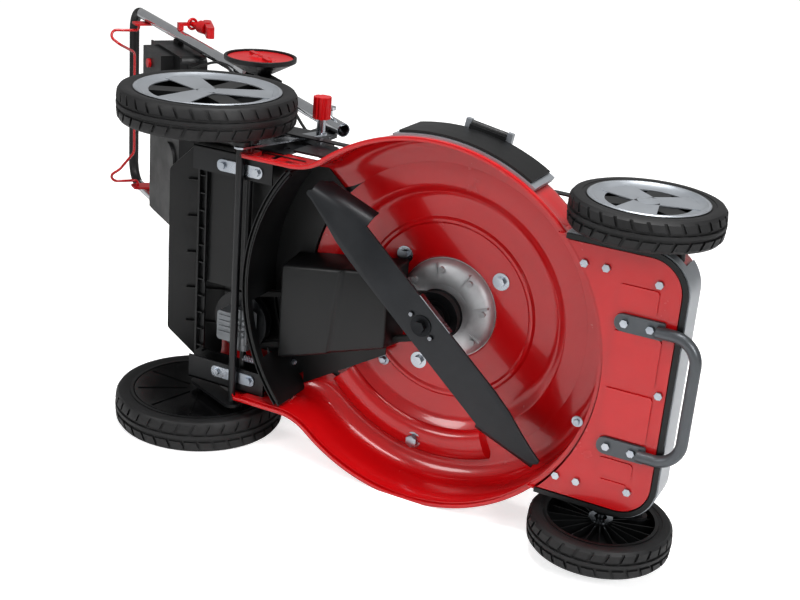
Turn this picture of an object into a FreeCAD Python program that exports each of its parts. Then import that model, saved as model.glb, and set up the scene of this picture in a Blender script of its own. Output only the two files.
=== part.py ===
import FreeCAD, Part
import math
import os

from FreeCAD import Vector

# Self-propelled petrol lawn mower, standing on its wheels, millimetres, +Z up, +X to the front.
# While it is built, X = Y = 0 is the crankshaft's axis and Z = 0 the ground. At the end the
# whole mower moves along X and Y so that the origin is the middle of its footprint.

# ---------------------------------------------------------------- driving dimensions
# Fits and gaps
RUN_FIT = 0.05            # radial clearance of a shaft that turns in its bore
BODY_GAP = 0.5            # least space between pieces that move past each other
BOLT_FIT = 0.25           # radial clearance of a bolt in its hole

# Deck
DECK_R = 267.0            # inner radius of the cutting chamber's wall
DECK_T = 2.5              # sheet thickness
DECK_LOW = 84.0           # underside height of the skirt at the highest cut
DECK_TOP = 187.0          # underside height of the engine plate
CHANNEL_DROP = 11.0       # how far the outer channel lies below the engine plate
PLATE_R = 166.0           # outer radius of the flat engine plate
CHANNEL_R = 188.0         # inner radius of the outer channel
SHOULDER_R = 40.0         # radius of the shoulder between channel and wall
RIM_R = 5.0               # radius of the rolled rim
ENGINE_HOLE_R = 76.0
RAIL_Y = 197.0            # outer face of the rear side rails
RAIL_BACK = -405.0
NOSE_Y = 188.0            # half width of the nose over the front axle
NOSE_X = 372.0
NOSE_H = 66.0
NOSE_CORNER_R = 52.0
WINDOW_LOW = 98.0         # side discharge window
WINDOW_HIGH = 150.0
WINDOW_HALF_DEG = 19.0
WINDOW_DEG = -80.5

# Blade and crank
BLADE_L = 510.0
BLADE_W = 58.0
BLADE_T = 4.0
BLADE_Z = 100.0
BLADE_DEG = 41.5
CRANK_R = 12.5
CRANK_TOP = 392.0
ADAPTOR_R = 30.0
PULLEY_R = 38.0           # crank pulley's flange
GROOVE_DEPTH = 10.0
BELT_Z = 150.0            # middle height of the drive belt
BELT_W = 10.0
BELT_T = 8.0
BELT_GAP = 0.5

# Wheels
REAR_X = -399.0
REAR_R = 135.5
REAR_W = 51.0
REAR_Y = 221.0            # inner face of the rear tyres
REAR_RIM_R = 112.0
FRONT_X = 299.0
FRONT_R = 101.2
FRONT_W = 44.0
FRONT_Y = 208.0
FRONT_RIM_R = 80.0
SPINDLE_R = 6.0
BOSS_R = 16.0
RIM_WALL = 5.0

# Rear crank axle and drive
AXLE_X = -313.0
AXLE_R = 6.0
FLANGE_Z = 106.0          # underside of the rear flanges, where the straps are bolted
STRAP_T = 2.35
AXLE_Z = FLANGE_Z - STRAP_T - 0.65 - AXLE_R   # the rod runs just under the straps
ARM_T = 5.0
ARM_Y = 213.0             # outer face of the rear crank arms
ARM_R = 14.0
GEAR_M = 2.0
PINION_TEETH = 12
RING_TEETH = 104
SHAFT_R = 5.0
SHAFT_DEG = -10.9         # direction from the rear wheel's centre to the drive shaft
GEARBOX_Y = 90.0
GEARBOX_PULLEY_R = 48.0
GEARBOX_PULLEY_X = -331.0

# Front crank axle
FRONT_AXLE_X = 348.0
FRONT_AXLE_Z = 112.0
FRONT_ARM_Y = 201.0
LINK_UP_REAR = 114.0      # link pin above the rear axle's axis
LINK_UP_FRONT = 74.0      # link pin above the front axle's axis
LINK_Y = 206.4            # middle of the link rod, on the mower's right

# Handle, in its own frame: s runs up the tube, n is square to it, y as on the mower
HANDLE_X = -260.0         # lower end of the tubes
HANDLE_Z = 310.0
HANDLE_DEG = 35.3
TUBE_R = 11.0
TUBE_WALL = 1.5
HANDLE_Y = 200.0          # middle of each side tube
BRACKET_S = 52.0          # bolt of the lower brackets
FOLD_S = 355.0            # folding joint
FOLD_REACH = 50.0         # from the folding joint to each tube's end
HANDLE_END_S = 1114.0     # middle of the cross grip
GRIP_BEND_R = 46.0
BAIL_R = 3.0
BAIL_S = 1010.0
BAIL_N = -22.0
HUB_R = 65.0              # folding joint's big round cover
HUB_DEPTH = 30.0
SOCKET_HALF = TUBE_R + 2.0      # half width of the folding joint's socket on each lower tube
SHOE_HALF = TUBE_R + 3.0        # half width of the shoe on each end of the upper tube
EAR_T = 4.0
CONSOLE_S = (660.0, 850.0)
CONSOLE_N = (-45.0, 12.0)
CONSOLE_Y = 183.0

# Flaps
DOOR_PIVOT = (-344.2, 200.4)   # (x, z) of the rear flap's pins
DOOR_L = 138.6
DOOR_DROP_DEG = 26.6
DOOR_PIN_R = 3.0
SIDE_PIN_R = 2.0
SIDE_BARREL = 27.0        # half length of the side flap's hinge barrel

# Engine
ENGINE_FOOT_R = 112.0
BOLT_CIRCLE_R = 101.0
SHROUD_R = 118.0
SHROUD_Z = (318.0, 408.0)
SHEET = 3.0
TANK_X = -156.0
TANK_Y = 45.0

# ---------------------------------------------------------------- derived places
X_AXIS = Vector(1, 0, 0)
Y_AXIS = Vector(0, 1, 0)
Z_AXIS = Vector(0, 0, 1)
GEAR_CENTRES = GEAR_M * (RING_TEETH - PINION_TEETH) / 2.0
SHAFT_X = REAR_X + GEAR_CENTRES * math.cos(math.radians(SHAFT_DEG))
SHAFT_Z = REAR_R + GEAR_CENTRES * math.sin(math.radians(SHAFT_DEG))
ENGINE_Z = DECK_TOP + DECK_T
CHANNEL_Z = DECK_TOP - CHANNEL_DROP
RIM_CENTRE_R = DECK_R + DECK_T + 2.0
OUTSIDE_R = DECK_R + DECK_T
HANDLE_DIR = Vector(-math.cos(math.radians(HANDLE_DEG)), 0, math.sin(math.radians(HANDLE_DEG)))
HANDLE_UP = Vector(math.sin(math.radians(HANDLE_DEG)), 0, math.cos(math.radians(HANDLE_DEG)))
HANDLE_FRAME = FreeCAD.Placement(
    Vector(HANDLE_X, 0, HANDLE_Z),
    FreeCAD.Rotation(HANDLE_DIR, Vector(0, -1, 0), HANDLE_UP, "XYZ"),
)
SIDE_HINGE_Z = WINDOW_HIGH + 14.0
SIDE_HINGE_R = OUTSIDE_R + 18.0
PULLEY_RATIO = (PULLEY_R - GROOVE_DEPTH + BELT_T / 2) / (GEARBOX_PULLEY_R - GROOVE_DEPTH + BELT_T / 2)
LINK_RATIO = LINK_UP_REAR / LINK_UP_FRONT


# ---------------------------------------------------------------- small helpers
def box(x0, x1, y0, y1, z0, z1):
    return Part.makeBox(x1 - x0, y1 - y0, z1 - z0, Vector(x0, y0, z0))


def rod(start, end, radius):
    """A round bar between two points."""
    axis = end - start
    return Part.makeCylinder(radius, axis.Length, start, axis)


def rod_y(x, z, y0, y1, radius):
    return Part.makeCylinder(radius, y1 - y0, Vector(x, y0, z), Y_AXIS)


def rod_z(x, y, z0, z1, radius):
    return Part.makeCylinder(radius, z1 - z0, Vector(x, y, z0), Z_AXIS)


def fuse(shapes):
    first, rest = shapes[0], shapes[1:]
    return first.multiFuse(rest).removeSplitter() if rest else first


def cut(shape, tools):
    return shape.cut(Part.makeCompound(list(tools)))


def group(shapes):
    return Part.makeCompound(list(shapes))


def mirrored(shape):
    """The same piece on the mower's other side."""
    return shape.mirror(Vector(0, 0, 0), Y_AXIS)


def pair(shape):
    return group([shape, mirrored(shape)])


def rounded_edges(points, radii, closed):
    """Straight runs through the points, joined by tangent arcs of the given radii."""
    count = len(points)
    if isinstance(radii, (int, float)):
        radii = [radii] * count
    starts, ends, arcs = [], [], []
    for i, here in enumerate(points):
        sharp = not closed and i in (0, count - 1)
        before = points[i - 1]
        after = points[(i + 1) % count]
        if sharp or radii[i] == 0:
            starts.append(here)
            ends.append(here)
            arcs.append(None)
            continue
        inward = (here - before).normalize()
        outward = (after - here).normalize()
        half = inward.getAngle(outward) / 2
        reach = radii[i] * math.tan(half)
        middle = (outward - inward).normalize()
        depth = radii[i] / math.cos(half) - radii[i]
        starts.append(here - inward * reach)
        ends.append(here + outward * reach)
        arcs.append(here + middle * depth)
    edges = []
    for i in range(count):
        if arcs[i] is not None:
            edges.append(Part.Arc(starts[i], arcs[i], ends[i]).toShape())
        if closed or i < count - 1:
            onward = starts[(i + 1) % count]
            if (onward - ends[i]).Length > 1e-6:
                edges.append(Part.LineSegment(ends[i], onward).toShape())
    return edges


def outline_solid(points, radii, direction):
    """A closed rounded outline pushed along a direction."""
    wire = Part.Wire(rounded_edges(points, radii, True))
    return Part.Face(wire).extrude(direction)


def plate_z(points, radii, z0, z1):
    return outline_solid([Vector(x, y, z0) for x, y in points], radii, Vector(0, 0, z1 - z0))


def plate_y(points, radii, y0, y1):
    return outline_solid([Vector(x, y0, z) for x, z in points], radii, Vector(0, y1 - y0, 0))


def turned(points, radii, axis_point, axis):
    """A closed rounded outline of (radius, height) turned about an axis along Z or Y."""
    if axis == Z_AXIS:
        flat = [Vector(axis_point.x + r, axis_point.y, axis_point.z + h) for r, h in points]
    else:
        flat = [Vector(axis_point.x + r, axis_point.y + h, axis_point.z) for r, h in points]
    face = Part.Face(Part.Wire(rounded_edges(flat, radii, True)))
    return face.revolve(axis_point, axis, 360)


def bent_rod(points, radii, radius):
    """A round wire or tube along straight runs joined by tangent arcs."""
    path = Part.Wire(rounded_edges(points, radii, False))
    start = path.Edges[0].valueAt(path.Edges[0].FirstParameter)
    heading = (points[1] - points[0]).normalize()
    ring = Part.Wire(Part.makeCircle(radius, start, heading))
    return path.makePipeShell([ring], True, False)


def sector(r0, r1, z0, z1, middle_deg, half_deg):
    """A curved slab of a ring about the crankshaft's axis."""
    start = math.radians(middle_deg - half_deg)
    face = Part.Face(Part.Wire(rounded_edges([
        Vector(r0 * math.cos(start), r0 * math.sin(start), z0),
        Vector(r1 * math.cos(start), r1 * math.sin(start), z0),
        Vector(r1 * math.cos(start), r1 * math.sin(start), z1),
        Vector(r0 * math.cos(start), r0 * math.sin(start), z1),
    ], 0, True)))
    return face.revolve(Vector(0, 0, 0), Z_AXIS, 2 * half_deg)


def on_handle(shape):
    """Move a piece drawn in the handle's own frame (s, right, n) onto the mower."""
    moved = shape.copy()
    moved.Placement = HANDLE_FRAME.multiply(moved.Placement)
    return moved


def handle_point(s, right, n):
    return HANDLE_FRAME.multVec(Vector(s, right, n))


def hex_bolt(x, y, under, across, head, shank_r, length, washer_r=0.0):
    """A hexagon bolt put in from below: its head's top face is at the height called under."""
    washer = 1.6 if washer_r else 0.0
    points = []
    for i in range(6):
        angle = math.radians(60 * i)
        reach = across / 2 / math.cos(math.radians(30))
        points.append((x + reach * math.cos(angle), y + reach * math.sin(angle)))
    parts = [plate_z(points, 0, under - washer - head, under - washer)]
    if washer_r:
        parts.append(rod_z(x, y, under - washer, under, washer_r))
    parts.append(rod_z(x, y, under, under + length, shank_r))
    return fuse(parts)


def loop_solid(c1, r1, c2, r2, z0, z1):
    """The solid inside a belt that runs round two circles."""
    along = math.atan2(c2[1] - c1[1], c2[0] - c1[0])
    distance = math.hypot(c2[0] - c1[0], c2[1] - c1[1])
    lean = math.acos((r1 - r2) / distance)

    def spot(centre, radius, angle):
        return Vector(centre[0] + radius * math.cos(angle), centre[1] + radius * math.sin(angle), z0)

    a, b = spot(c1, r1, along + lean), spot(c1, r1, along - lean)
    c, d = spot(c2, r2, along - lean), spot(c2, r2, along + lean)
    edges = [
        Part.Arc(a, spot(c1, r1, along + math.pi), b).toShape(),
        Part.LineSegment(b, c).toShape(),
        Part.Arc(c, spot(c2, r2, along), d).toShape(),
        Part.LineSegment(d, a).toShape(),
    ]
    return Part.Face(Part.Wire(edges)).extrude(Vector(0, 0, z1 - z0))


def capsule_y(p, q, radius, y0, y1):
    """A flat bar with round ends between two (x, z) points, square to Y."""
    dx, dz = q[0] - p[0], q[1] - p[1]
    length = math.hypot(dx, dz)
    side = (-dz / length * radius, dx / length * radius)
    corners = [(p[0] + side[0], p[1] + side[1]), (q[0] + side[0], q[1] + side[1]),
               (q[0] - side[0], q[1] - side[1]), (p[0] - side[0], p[1] - side[1])]
    bar = plate_y(corners, 0, y0, y1)
    return fuse([bar, rod_y(p[0], p[1], y0, y1, radius), rod_y(q[0], q[1], y0, y1, radius)])


# ---------------------------------------------------------------- deck and chassis
ENGINE_BOLTS = [(BOLT_CIRCLE_R * math.cos(math.radians(a)), BOLT_CIRCLE_R * math.sin(math.radians(a)))
                for a in (222.0, 323.0, 112.0)]
STRAP_BOLTS = [(-347.5, 168.0), (-288.0, 168.0)]
NOSE_BOLTS = [(234.0, 155.6), (264.0, 155.6), (336.0, 149.3)]
NOSE_MIDDLE_BOLT = (357.0, 0.0)
BUMPER_BOLTS = [(299.0, 89.0), (334.0, 89.0)]
FRONT_PLATE_Z = (78.0, 80.0)
BUMPER_R = 8.0
M8 = 4.0
M6 = 3.0


def deck_shell():
    under = [(ENGINE_HOLE_R, DECK_TOP), (PLATE_R, DECK_TOP), (CHANNEL_R, CHANNEL_Z),
             (DECK_R - 3, CHANNEL_Z), (DECK_R, DECK_LOW)]
    over = [(OUTSIDE_R, DECK_LOW), (OUTSIDE_R - 3, CHANNEL_Z + DECK_T),
            (CHANNEL_R - 1, CHANNEL_Z + DECK_T), (PLATE_R + 1, ENGINE_Z), (ENGINE_HOLE_R, ENGINE_Z)]
    radii = [0, 14, 14, SHOULDER_R, 0, 0, SHOULDER_R + DECK_T, 14, 14, 0]
    chamber = turned(under + over, radii, Vector(0, 0, 0), Z_AXIS)
    rim = Part.makeTorus(RIM_CENTRE_R, RIM_R, Vector(0, 0, DECK_LOW), Z_AXIS)
    mouth = box(RAIL_BACK, -140, -RAIL_Y + DECK_T, RAIL_Y - DECK_T, 0, CHANNEL_Z - 2)
    window = sector(DECK_R - 30, DECK_R + 8, WINDOW_LOW, WINDOW_HIGH, WINDOW_DEG, WINDOW_HALF_DEG)
    bowl = cut(fuse([chamber, rim]), [mouth, window])

    inside = rod_z(0, 0, 0, ENGINE_Z - 1, OUTSIDE_R - 1)
    roof = cut(box(-338, -120, -RAIL_Y, RAIL_Y, DECK_TOP, ENGINE_Z),
               [rod_z(0, 0, 0, ENGINE_Z + 1, CHANNEL_R - 30)])
    rail_line = [(-338, ENGINE_Z), (RAIL_BACK, 160), (RAIL_BACK, 118), (-352, 88), (-200, DECK_LOW),
                 (-184, DECK_LOW), (-184, ENGINE_Z)]
    rail = plate_y(rail_line, 0, RAIL_Y - DECK_T, RAIL_Y)
    flange = box(RAIL_BACK + 3, -262, 150, RAIL_Y, FLANGE_Z, FLANGE_Z + DECK_T)
    rails = fuse([rail, flange])

    nose_low = DECK_LOW - 4
    nose_top = nose_low + NOSE_H
    nose_line = [(120, -NOSE_Y), (NOSE_X, -NOSE_Y), (NOSE_X, NOSE_Y), (120, NOSE_Y)]
    nose_radii = [0, NOSE_CORNER_R, NOSE_CORNER_R, 0]
    outer = plate_z(nose_line, nose_radii, nose_low, nose_top)
    t = DECK_T
    inner_line = [(110, -NOSE_Y + t), (NOSE_X - t, -NOSE_Y + t), (NOSE_X - t, NOSE_Y - t), (110, NOSE_Y - t)]
    inner = plate_z(inner_line, [0, NOSE_CORNER_R - t, NOSE_CORNER_R - t, 0], nose_low - 1, nose_top - t)
    nose = cut(outer, [inner, inside])
    bosses = [rod_z(x, side * y, nose_low, nose_top - 1, 8)
              for x, y in NOSE_BOLTS for side in (-1, 1)]
    bosses.append(rod_z(NOSE_MIDDLE_BOLT[0], NOSE_MIDDLE_BOLT[1], nose_low, nose_top - 1, 8))
    bumper_pads = [rod_z(x, side * y, nose_low, nose_low + 24, 9) for x, y in BUMPER_BOLTS
                   for side in (-1, 1)]
    bumper_webs = [box(BUMPER_BOLTS[0][0], BUMPER_BOLTS[1][0], side * 89 - 2, side * 89 + 2,
                       nose_low, nose_top - 1) for side in (-1, 1)]
    whole = fuse([bowl, roof, rails, mirrored(rails), nose] + bosses + bumper_pads + bumper_webs)

    holes = [rod_z(x, y, DECK_TOP - 5, ENGINE_Z + 5, M8 + BOLT_FIT) for x, y in ENGINE_BOLTS]
    for side in (-1, 1):
        holes += [rod_z(x, side * y, FLANGE_Z - 5, FLANGE_Z + 8, M6 + BOLT_FIT) for x, y in STRAP_BOLTS]
        holes += [rod_z(x, side * y, 70, 100, M6 + BOLT_FIT) for x, y in NOSE_BOLTS + BUMPER_BOLTS]
    holes.append(rod_z(NOSE_MIDDLE_BOLT[0], NOSE_MIDDLE_BOLT[1], 70, 100, M6 + BOLT_FIT))
    holes.append(rod_y(AXLE_X, AXLE_Z, -RAIL_Y - 1, RAIL_Y + 1, AXLE_R + RUN_FIT))
    holes.append(rod_y(SHAFT_X + 4, SHAFT_Z - 2, -RAIL_Y - 1, RAIL_Y + 1, SHAFT_R + 7))
    holes.append(rod_y(FRONT_AXLE_X, FRONT_AXLE_Z, -NOSE_Y - 1, NOSE_Y + 1, AXLE_R + RUN_FIT))
    for side in (-1, 1):
        holes += [rod_y(x, z, side * RAIL_Y - 4, side * RAIL_Y + 4, M8 + BOLT_FIT)
                  for x, z in BRACKET_FEET]
        slot_y = side * (RAIL_Y - DECK_T - 2.5)
        holes.append(box(BRACKET_X[0] - 1, BRACKET_X[1] + 1, slot_y - 2.5, slot_y + 2.5,
                         DECK_TOP - 1, ENGINE_Z + 1))
    return cut(whole, holes)


def front_plate():
    line = [(150, -NOSE_Y + 6), (NOSE_X - 6, -NOSE_Y + 6), (NOSE_X - 6, NOSE_Y - 6), (150, NOSE_Y - 6)]
    flat = plate_z(line, [0, NOSE_CORNER_R - 6, NOSE_CORNER_R - 6, 0], *FRONT_PLATE_Z)
    flat = cut(flat, [rod_z(0, 0, 60, 100, RIM_CENTRE_R + RIM_R + BODY_GAP)])
    low, high = FRONT_PLATE_Z
    ribs = []
    for side in (-1, 1):
        ribs.append(box(286, 348, side * 40 - 12, side * 40 + 12, high - 0.5, high + 3))
    plate = fuse([flat] + ribs)
    holes = []
    for side in (-1, 1):
        holes += [rod_z(x, side * y, low - 5, high + 9, M6 + BOLT_FIT) for x, y in NOSE_BOLTS + BUMPER_BOLTS]
    holes.append(rod_z(NOSE_MIDDLE_BOLT[0], NOSE_MIDDLE_BOLT[1], low - 5, high + 9, M6 + BOLT_FIT))
    return cut(plate, holes)


def front_fascia():
    """Moulded band round the nose: it hides the sheet's edge and carries the trim."""
    gap, wall, low, high = 0.3, 4.0, 80.0, 132.0

    def band(offset, z0, z1):
        line = [(205, -NOSE_Y - offset), (NOSE_X + offset, -NOSE_Y - offset),
                (NOSE_X + offset, NOSE_Y + offset), (205, NOSE_Y + offset)]
        r = NOSE_CORNER_R + offset
        return plate_z(line, [0, r, r, 0], z0, z1)

    skin = cut(band(gap + wall, low, high), [band(gap, low - 1, high + 1)])
    skin = cut(skin, [rod_z(0, 0, 60, 140, OUTSIDE_R + RIM_R + 3)])
    pocket = [box(FRONT_AXLE_X - 22, FRONT_AXLE_X + 13, side * NOSE_Y - 20, side * NOSE_Y + 20,
                  FRONT_AXLE_Z - 14, high + 1) for side in (-1, 1)]
    return cut(skin, pocket)


def bumper_bar():
    """Bent steel tube with flattened ends that bolt under the nose."""
    radius, end_t = BUMPER_R, 5.0
    side_y, front_x, back_x = BUMPER_BOLTS[0][1], NOSE_X + 27, BUMPER_BOLTS[0][0] - 14
    z = FRONT_PLATE_Z[0] - end_t / 2 - 0.05
    tube_z = z + end_t / 2 - radius
    start = BUMPER_BOLTS[1][0] + 9
    points = [Vector(start, -side_y, tube_z), Vector(front_x, -side_y, tube_z),
              Vector(front_x, side_y, tube_z), Vector(start, side_y, tube_z)]
    tube = bent_rod(points, 34, radius)
    ends = []
    for side in (-1, 1):
        y0 = side * side_y
        ends.append(plate_z([(back_x, y0 - 12), (352, y0 - 12), (352, y0 + 12), (back_x, y0 + 12)],
                            [11, 3, 3, 11], z - end_t / 2, z + end_t / 2))
    bar = fuse([tube] + ends)
    holes = [rod_z(x, side * y, z - 10, z + 10, M6 + BOLT_FIT) for x, y in BUMPER_BOLTS for side in (-1, 1)]
    return cut(bar, holes)


def deck_fasteners():
    bolts = [hex_bolt(x, y, DECK_TOP, 13, 5.5, M8, 28, 13.0) for x, y in ENGINE_BOLTS]
    strap_under = FLANGE_Z - STRAP_T - RUN_FIT
    plate_under = FRONT_PLATE_Z[0]
    bumper_under = plate_under - 5.1
    for side in (-1, 1):
        bolts += [hex_bolt(x, side * y, strap_under, 10, 4, M6, 8) for x, y in STRAP_BOLTS]
        bolts += [hex_bolt(x, side * y, plate_under, 10, 4, M6, 14) for x, y in NOSE_BOLTS]
        bolts += [hex_bolt(x, side * y, bumper_under, 10, 4, M6, 18) for x, y in BUMPER_BOLTS]
    bolts.append(hex_bolt(NOSE_MIDDLE_BOLT[0], NOSE_MIDDLE_BOLT[1], plate_under, 10, 4, M6, 14))
    return group(bolts)


def axle_straps():
    """Zinc straps under the rear flanges: the axle's rod passes below, the drive shaft above."""
    straps = []
    x0, x1 = STRAP_BOLTS[0][0] - 10, STRAP_BOLTS[1][0] + 10
    for side in (-1, 1):
        y = side * STRAP_BOLTS[0][1]
        strap = plate_z([(x0, y - 9), (x1, y - 9), (x1, y + 9), (x0, y + 9)], 8, FLANGE_Z - STRAP_T, FLANGE_Z)
        holes = [rod_z(bx, side * by, FLANGE_Z - 5, FLANGE_Z + 5, M6 + BOLT_FIT) for bx, by in STRAP_BOLTS]
        straps.append(cut(strap, holes))
    return group(straps)


FLOOR_Z = 128.0
BAFFLE_R = 288.0
BAFFLE_T = 4.0
BAFFLE_LIP = 14.0


def rear_baffle():
    """Black plastic wall that closes the chamber's back along its circle."""
    wall = sector(BAFFLE_R, BAFFLE_R + BAFFLE_T, 90, CHANNEL_Z - 4, 180, 45)
    lip = sector(BAFFLE_R - BAFFLE_LIP, BAFFLE_R + BAFFLE_T, CHANNEL_Z - 6, CHANNEL_Z - 3, 180, 45)
    foot = sector(BAFFLE_R - 3, BAFFLE_R + BAFFLE_T + 4, 90, 96, 180, 45)
    shape = fuse([wall, lip, foot])
    inner_y = RAIL_Y - DECK_T - 1
    keep = box(-330, -180, -inner_y, inner_y, 80, CHANNEL_Z)
    shape = shape.common(keep)
    outlet = box(-320, -200, -165, 20, FLOOR_Z + 6, CHANNEL_Z - 10)
    belt_gate = box(-320, -200, 26, 148, BELT_Z - 14, BELT_Z + 14)
    strap_gap = [box(-330, -255, side * 172 - 24, side * 172 + 24, 80, FLANGE_Z + 5) for side in (-1, 1)]
    return cut(shape, [outlet, belt_gate] + strap_gap)


def rear_floor():
    """Black ribbed plate behind the baffle: the floor of the rear discharge tunnel."""
    inner_y = RAIL_Y - DECK_T - 1
    flat = box(RAIL_BACK - 3, -200, -inner_y, inner_y, FLOOR_Z, FLOOR_Z + 3)
    flat = cut(flat, [rod_z(0, 0, 0, 300, BAFFLE_R + BAFFLE_T + 1)])
    ribs = [box(x, x + 2.5, -150, 150, FLOOR_Z - 7, FLOOR_Z + 1) for x in (-402.0, -389.0)]
    ribs += [box(-402, -389, y, y + 2, FLOOR_Z - 6, FLOOR_Z + 1) for y in range(-140, 141, 28)]
    plate = fuse([flat] + ribs)
    return cut(plate, [box(-390, -270, GEARBOX_Y - 58, GEARBOX_Y + 58, 100, 160)])


def belt_cover():
    """Black tray under the drive belt, between the crank and the baffle."""
    low, high, wall = 122.0, CHANNEL_Z - 2, 2.5
    line = [(-60, -84), (-50, 62), (-257, 140), (-263, -30)]
    inner = [(-57, -78), (-53, 56), (-254, 134), (-260, -24)]
    shell = cut(plate_z(line, 6, low, high), [plate_z(inner, 4, low + wall, high + 1)])
    gates = [box(-90, -30, -60, 66, BELT_Z - 10, high + 1),
             box(-275, -235, 20, 120, BELT_Z - 12, high + 1)]
    pulley_room = rod_z(0, 0, 100, 200, PULLEY_R + 8)
    step = plate_z([(-120, -64), (-112, 84), (-250, 134), (-256, -28)], 6, low - 4, low + 1)
    inside = rod_z(0, 0, 100, 200, BAFFLE_R - BAFFLE_LIP - BODY_GAP)
    return cut(fuse([shell, step]), gates + [pulley_room]).common(inside)


def side_frame():
    """Trim frame round the side discharge window."""
    r0, r1 = OUTSIDE_R + 1.0, OUTSIDE_R + 9.0
    ring = sector(r0, r1, WINDOW_LOW - 6, WINDOW_HIGH + 14, WINDOW_DEG, WINDOW_HALF_DEG + 4)
    hole = sector(r0 - 2, r1 + 2, WINDOW_LOW, WINDOW_HIGH, WINDOW_DEG, WINDOW_HALF_DEG)
    frame = cut(ring, [hole])
    lugs = []
    for side in (-1, 1):
        near, far = sorted((side * (SIDE_BARREL + BODY_GAP), side * (SIDE_BARREL + 9)))
        lug = box(OUTSIDE_R + 1.5, SIDE_HINGE_R + 5, near, far, WINDOW_HIGH + 10.8, SIDE_HINGE_Z + 5)
        lugs.append(at_window(lug))
    return cut(fuse([frame] + lugs), [side_pin(SIDE_BARREL + 8, SIDE_PIN_R + RUN_FIT)])


def at_window(shape):
    """Turn a piece drawn along X, radially outward, to the middle of the side window."""
    moved = shape.copy()
    moved.rotate(Vector(0, 0, 0), Z_AXIS, WINDOW_DEG)
    return moved


def side_pin(half, radius):
    return at_window(rod_y(SIDE_HINGE_R, SIDE_HINGE_Z, -half, half, radius))


def side_door():
    """Curved flap over the side discharge window, hinged along its top."""
    r0 = OUTSIDE_R + 9.0 + BODY_GAP
    skin = sector(r0, r0 + 3.5, WINDOW_LOW - 4, WINDOW_HIGH + 10, WINDOW_DEG, WINDOW_HALF_DEG + 2)
    web = at_window(box(r0 + 0.5, SIDE_HINGE_R, -SIDE_BARREL, SIDE_BARREL, WINDOW_HIGH + 5, SIDE_HINGE_Z))
    barrel = side_pin(SIDE_BARREL, 4.5)
    pins = side_pin(SIDE_BARREL + 7.5, SIDE_PIN_R)
    return fuse([skin, web, barrel, pins])


def height_quadrant():
    """Toothed plate beside the rear rail that the height lever clicks into."""
    y0, y1 = -RAIL_Y - 3.5, -RAIL_Y - 0.5
    ring = rod_y(AXLE_X, AXLE_Z, y0, y1, 150)
    ring = cut(ring, [rod_y(AXLE_X, AXLE_Z, y0 - 1, y1 + 1, 116)])
    wedge = plate_y([(AXLE_X, AXLE_Z), (AXLE_X - 12, AXLE_Z + 190), (AXLE_X + 190, AXLE_Z + 190),
                     (AXLE_X + 190, AXLE_Z + 86)], 0, y0, y1)
    plate = ring.common(wedge)
    foot = box(AXLE_X + 60, AXLE_X + 126, y0, y1, 148, 190)
    teeth = []
    for i in range(7):
        angle = math.radians(4 + 8.6 * i)
        tooth_x, tooth_z = AXLE_X + 150 * math.sin(angle), AXLE_Z + 150 * math.cos(angle)
        teeth.append(rod_y(tooth_x, tooth_z, y0 - 1, y1 + 1, 4.5))
    return cut(fuse([plate, foot]), teeth)


BRACKET_FEET = [(-322.0, 172.0), (-278.0, 172.0)]
BRACKET_X = (-354.0, -262.0)


def handle_brackets():
    """Upright steel plates inside the rails: the handle's tubes bolt to their tops."""
    y0, y1 = RAIL_Y - DECK_T - 4.5, RAIL_Y - DECK_T - 0.5
    top = handle_point(BRACKET_S, 0, 0)
    x0, x1 = BRACKET_X
    shelf = top.z - 46
    body = plate_y([(x0, 140), (x1, 140), (x1, shelf), (x0, shelf)], [6, 6, 0, 0], y0, y1)
    y_tube = HANDLE_Y - TUBE_R - 0.5
    ear = plate_y([(top.x - 20, shelf - 4), (top.x + 22, shelf - 4), (top.x + 22, top.z + 14),
                   (top.x - 18, top.z + 20)], [0, 0, 12, 12], y_tube - 4, y_tube)
    step = box(top.x - 20, top.x + 22, y_tube - 4, y1, shelf - 4, shelf)
    body = fuse([body, step, ear])
    holes = [rod_y(x, z, y0 - 20, y1 + 20, M8 + BOLT_FIT) for x, z in BRACKET_FEET]
    holes.append(rod_y(DOOR_PIVOT[0], DOOR_PIVOT[1], y0 - 1, y1 + 1, DOOR_PIN_R + RUN_FIT))
    body = cut(body, holes + [rod_y(top.x, top.z, 150, 220, M8 + RUN_FIT)])
    return pair(body)


def drive_belt():
    crank, gear = (0.0, 0.0), (GEARBOX_PULLEY_X, GEARBOX_Y)
    inner1, inner2 = PULLEY_R - GROOVE_DEPTH + BELT_GAP, GEARBOX_PULLEY_R - GROOVE_DEPTH + BELT_GAP
    z0, z1 = BELT_Z - BELT_W / 2, BELT_Z + BELT_W / 2
    outer = loop_solid(crank, inner1 + BELT_T, gear, inner2 + BELT_T, z0, z1)
    return cut(outer, [loop_solid(crank, inner1, gear, inner2, z0 - 1, z1 + 1)])


def tension_spring():
    """Coil spring that pulls the gearbox back against the belt."""
    wire, coil = 0.9, 5.0
    y, z, x0, x1 = GEARBOX_Y + 45, 112.0, -302.0, -270.0
    helix = Part.makeHelix(3.2, x1 - x0, coil)
    helix.Placement = FreeCAD.Placement(Vector(x0, y, z), FreeCAD.Rotation(Y_AXIS, 90))
    start = helix.Edges[0].valueAt(helix.Edges[0].FirstParameter)
    heading = helix.Edges[0].tangentAt(helix.Edges[0].FirstParameter)
    ring = Part.Wire(Part.makeCircle(wire, start, heading))
    return Part.Wire(helix.Edges).makePipeShell([ring], True, True)


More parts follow.
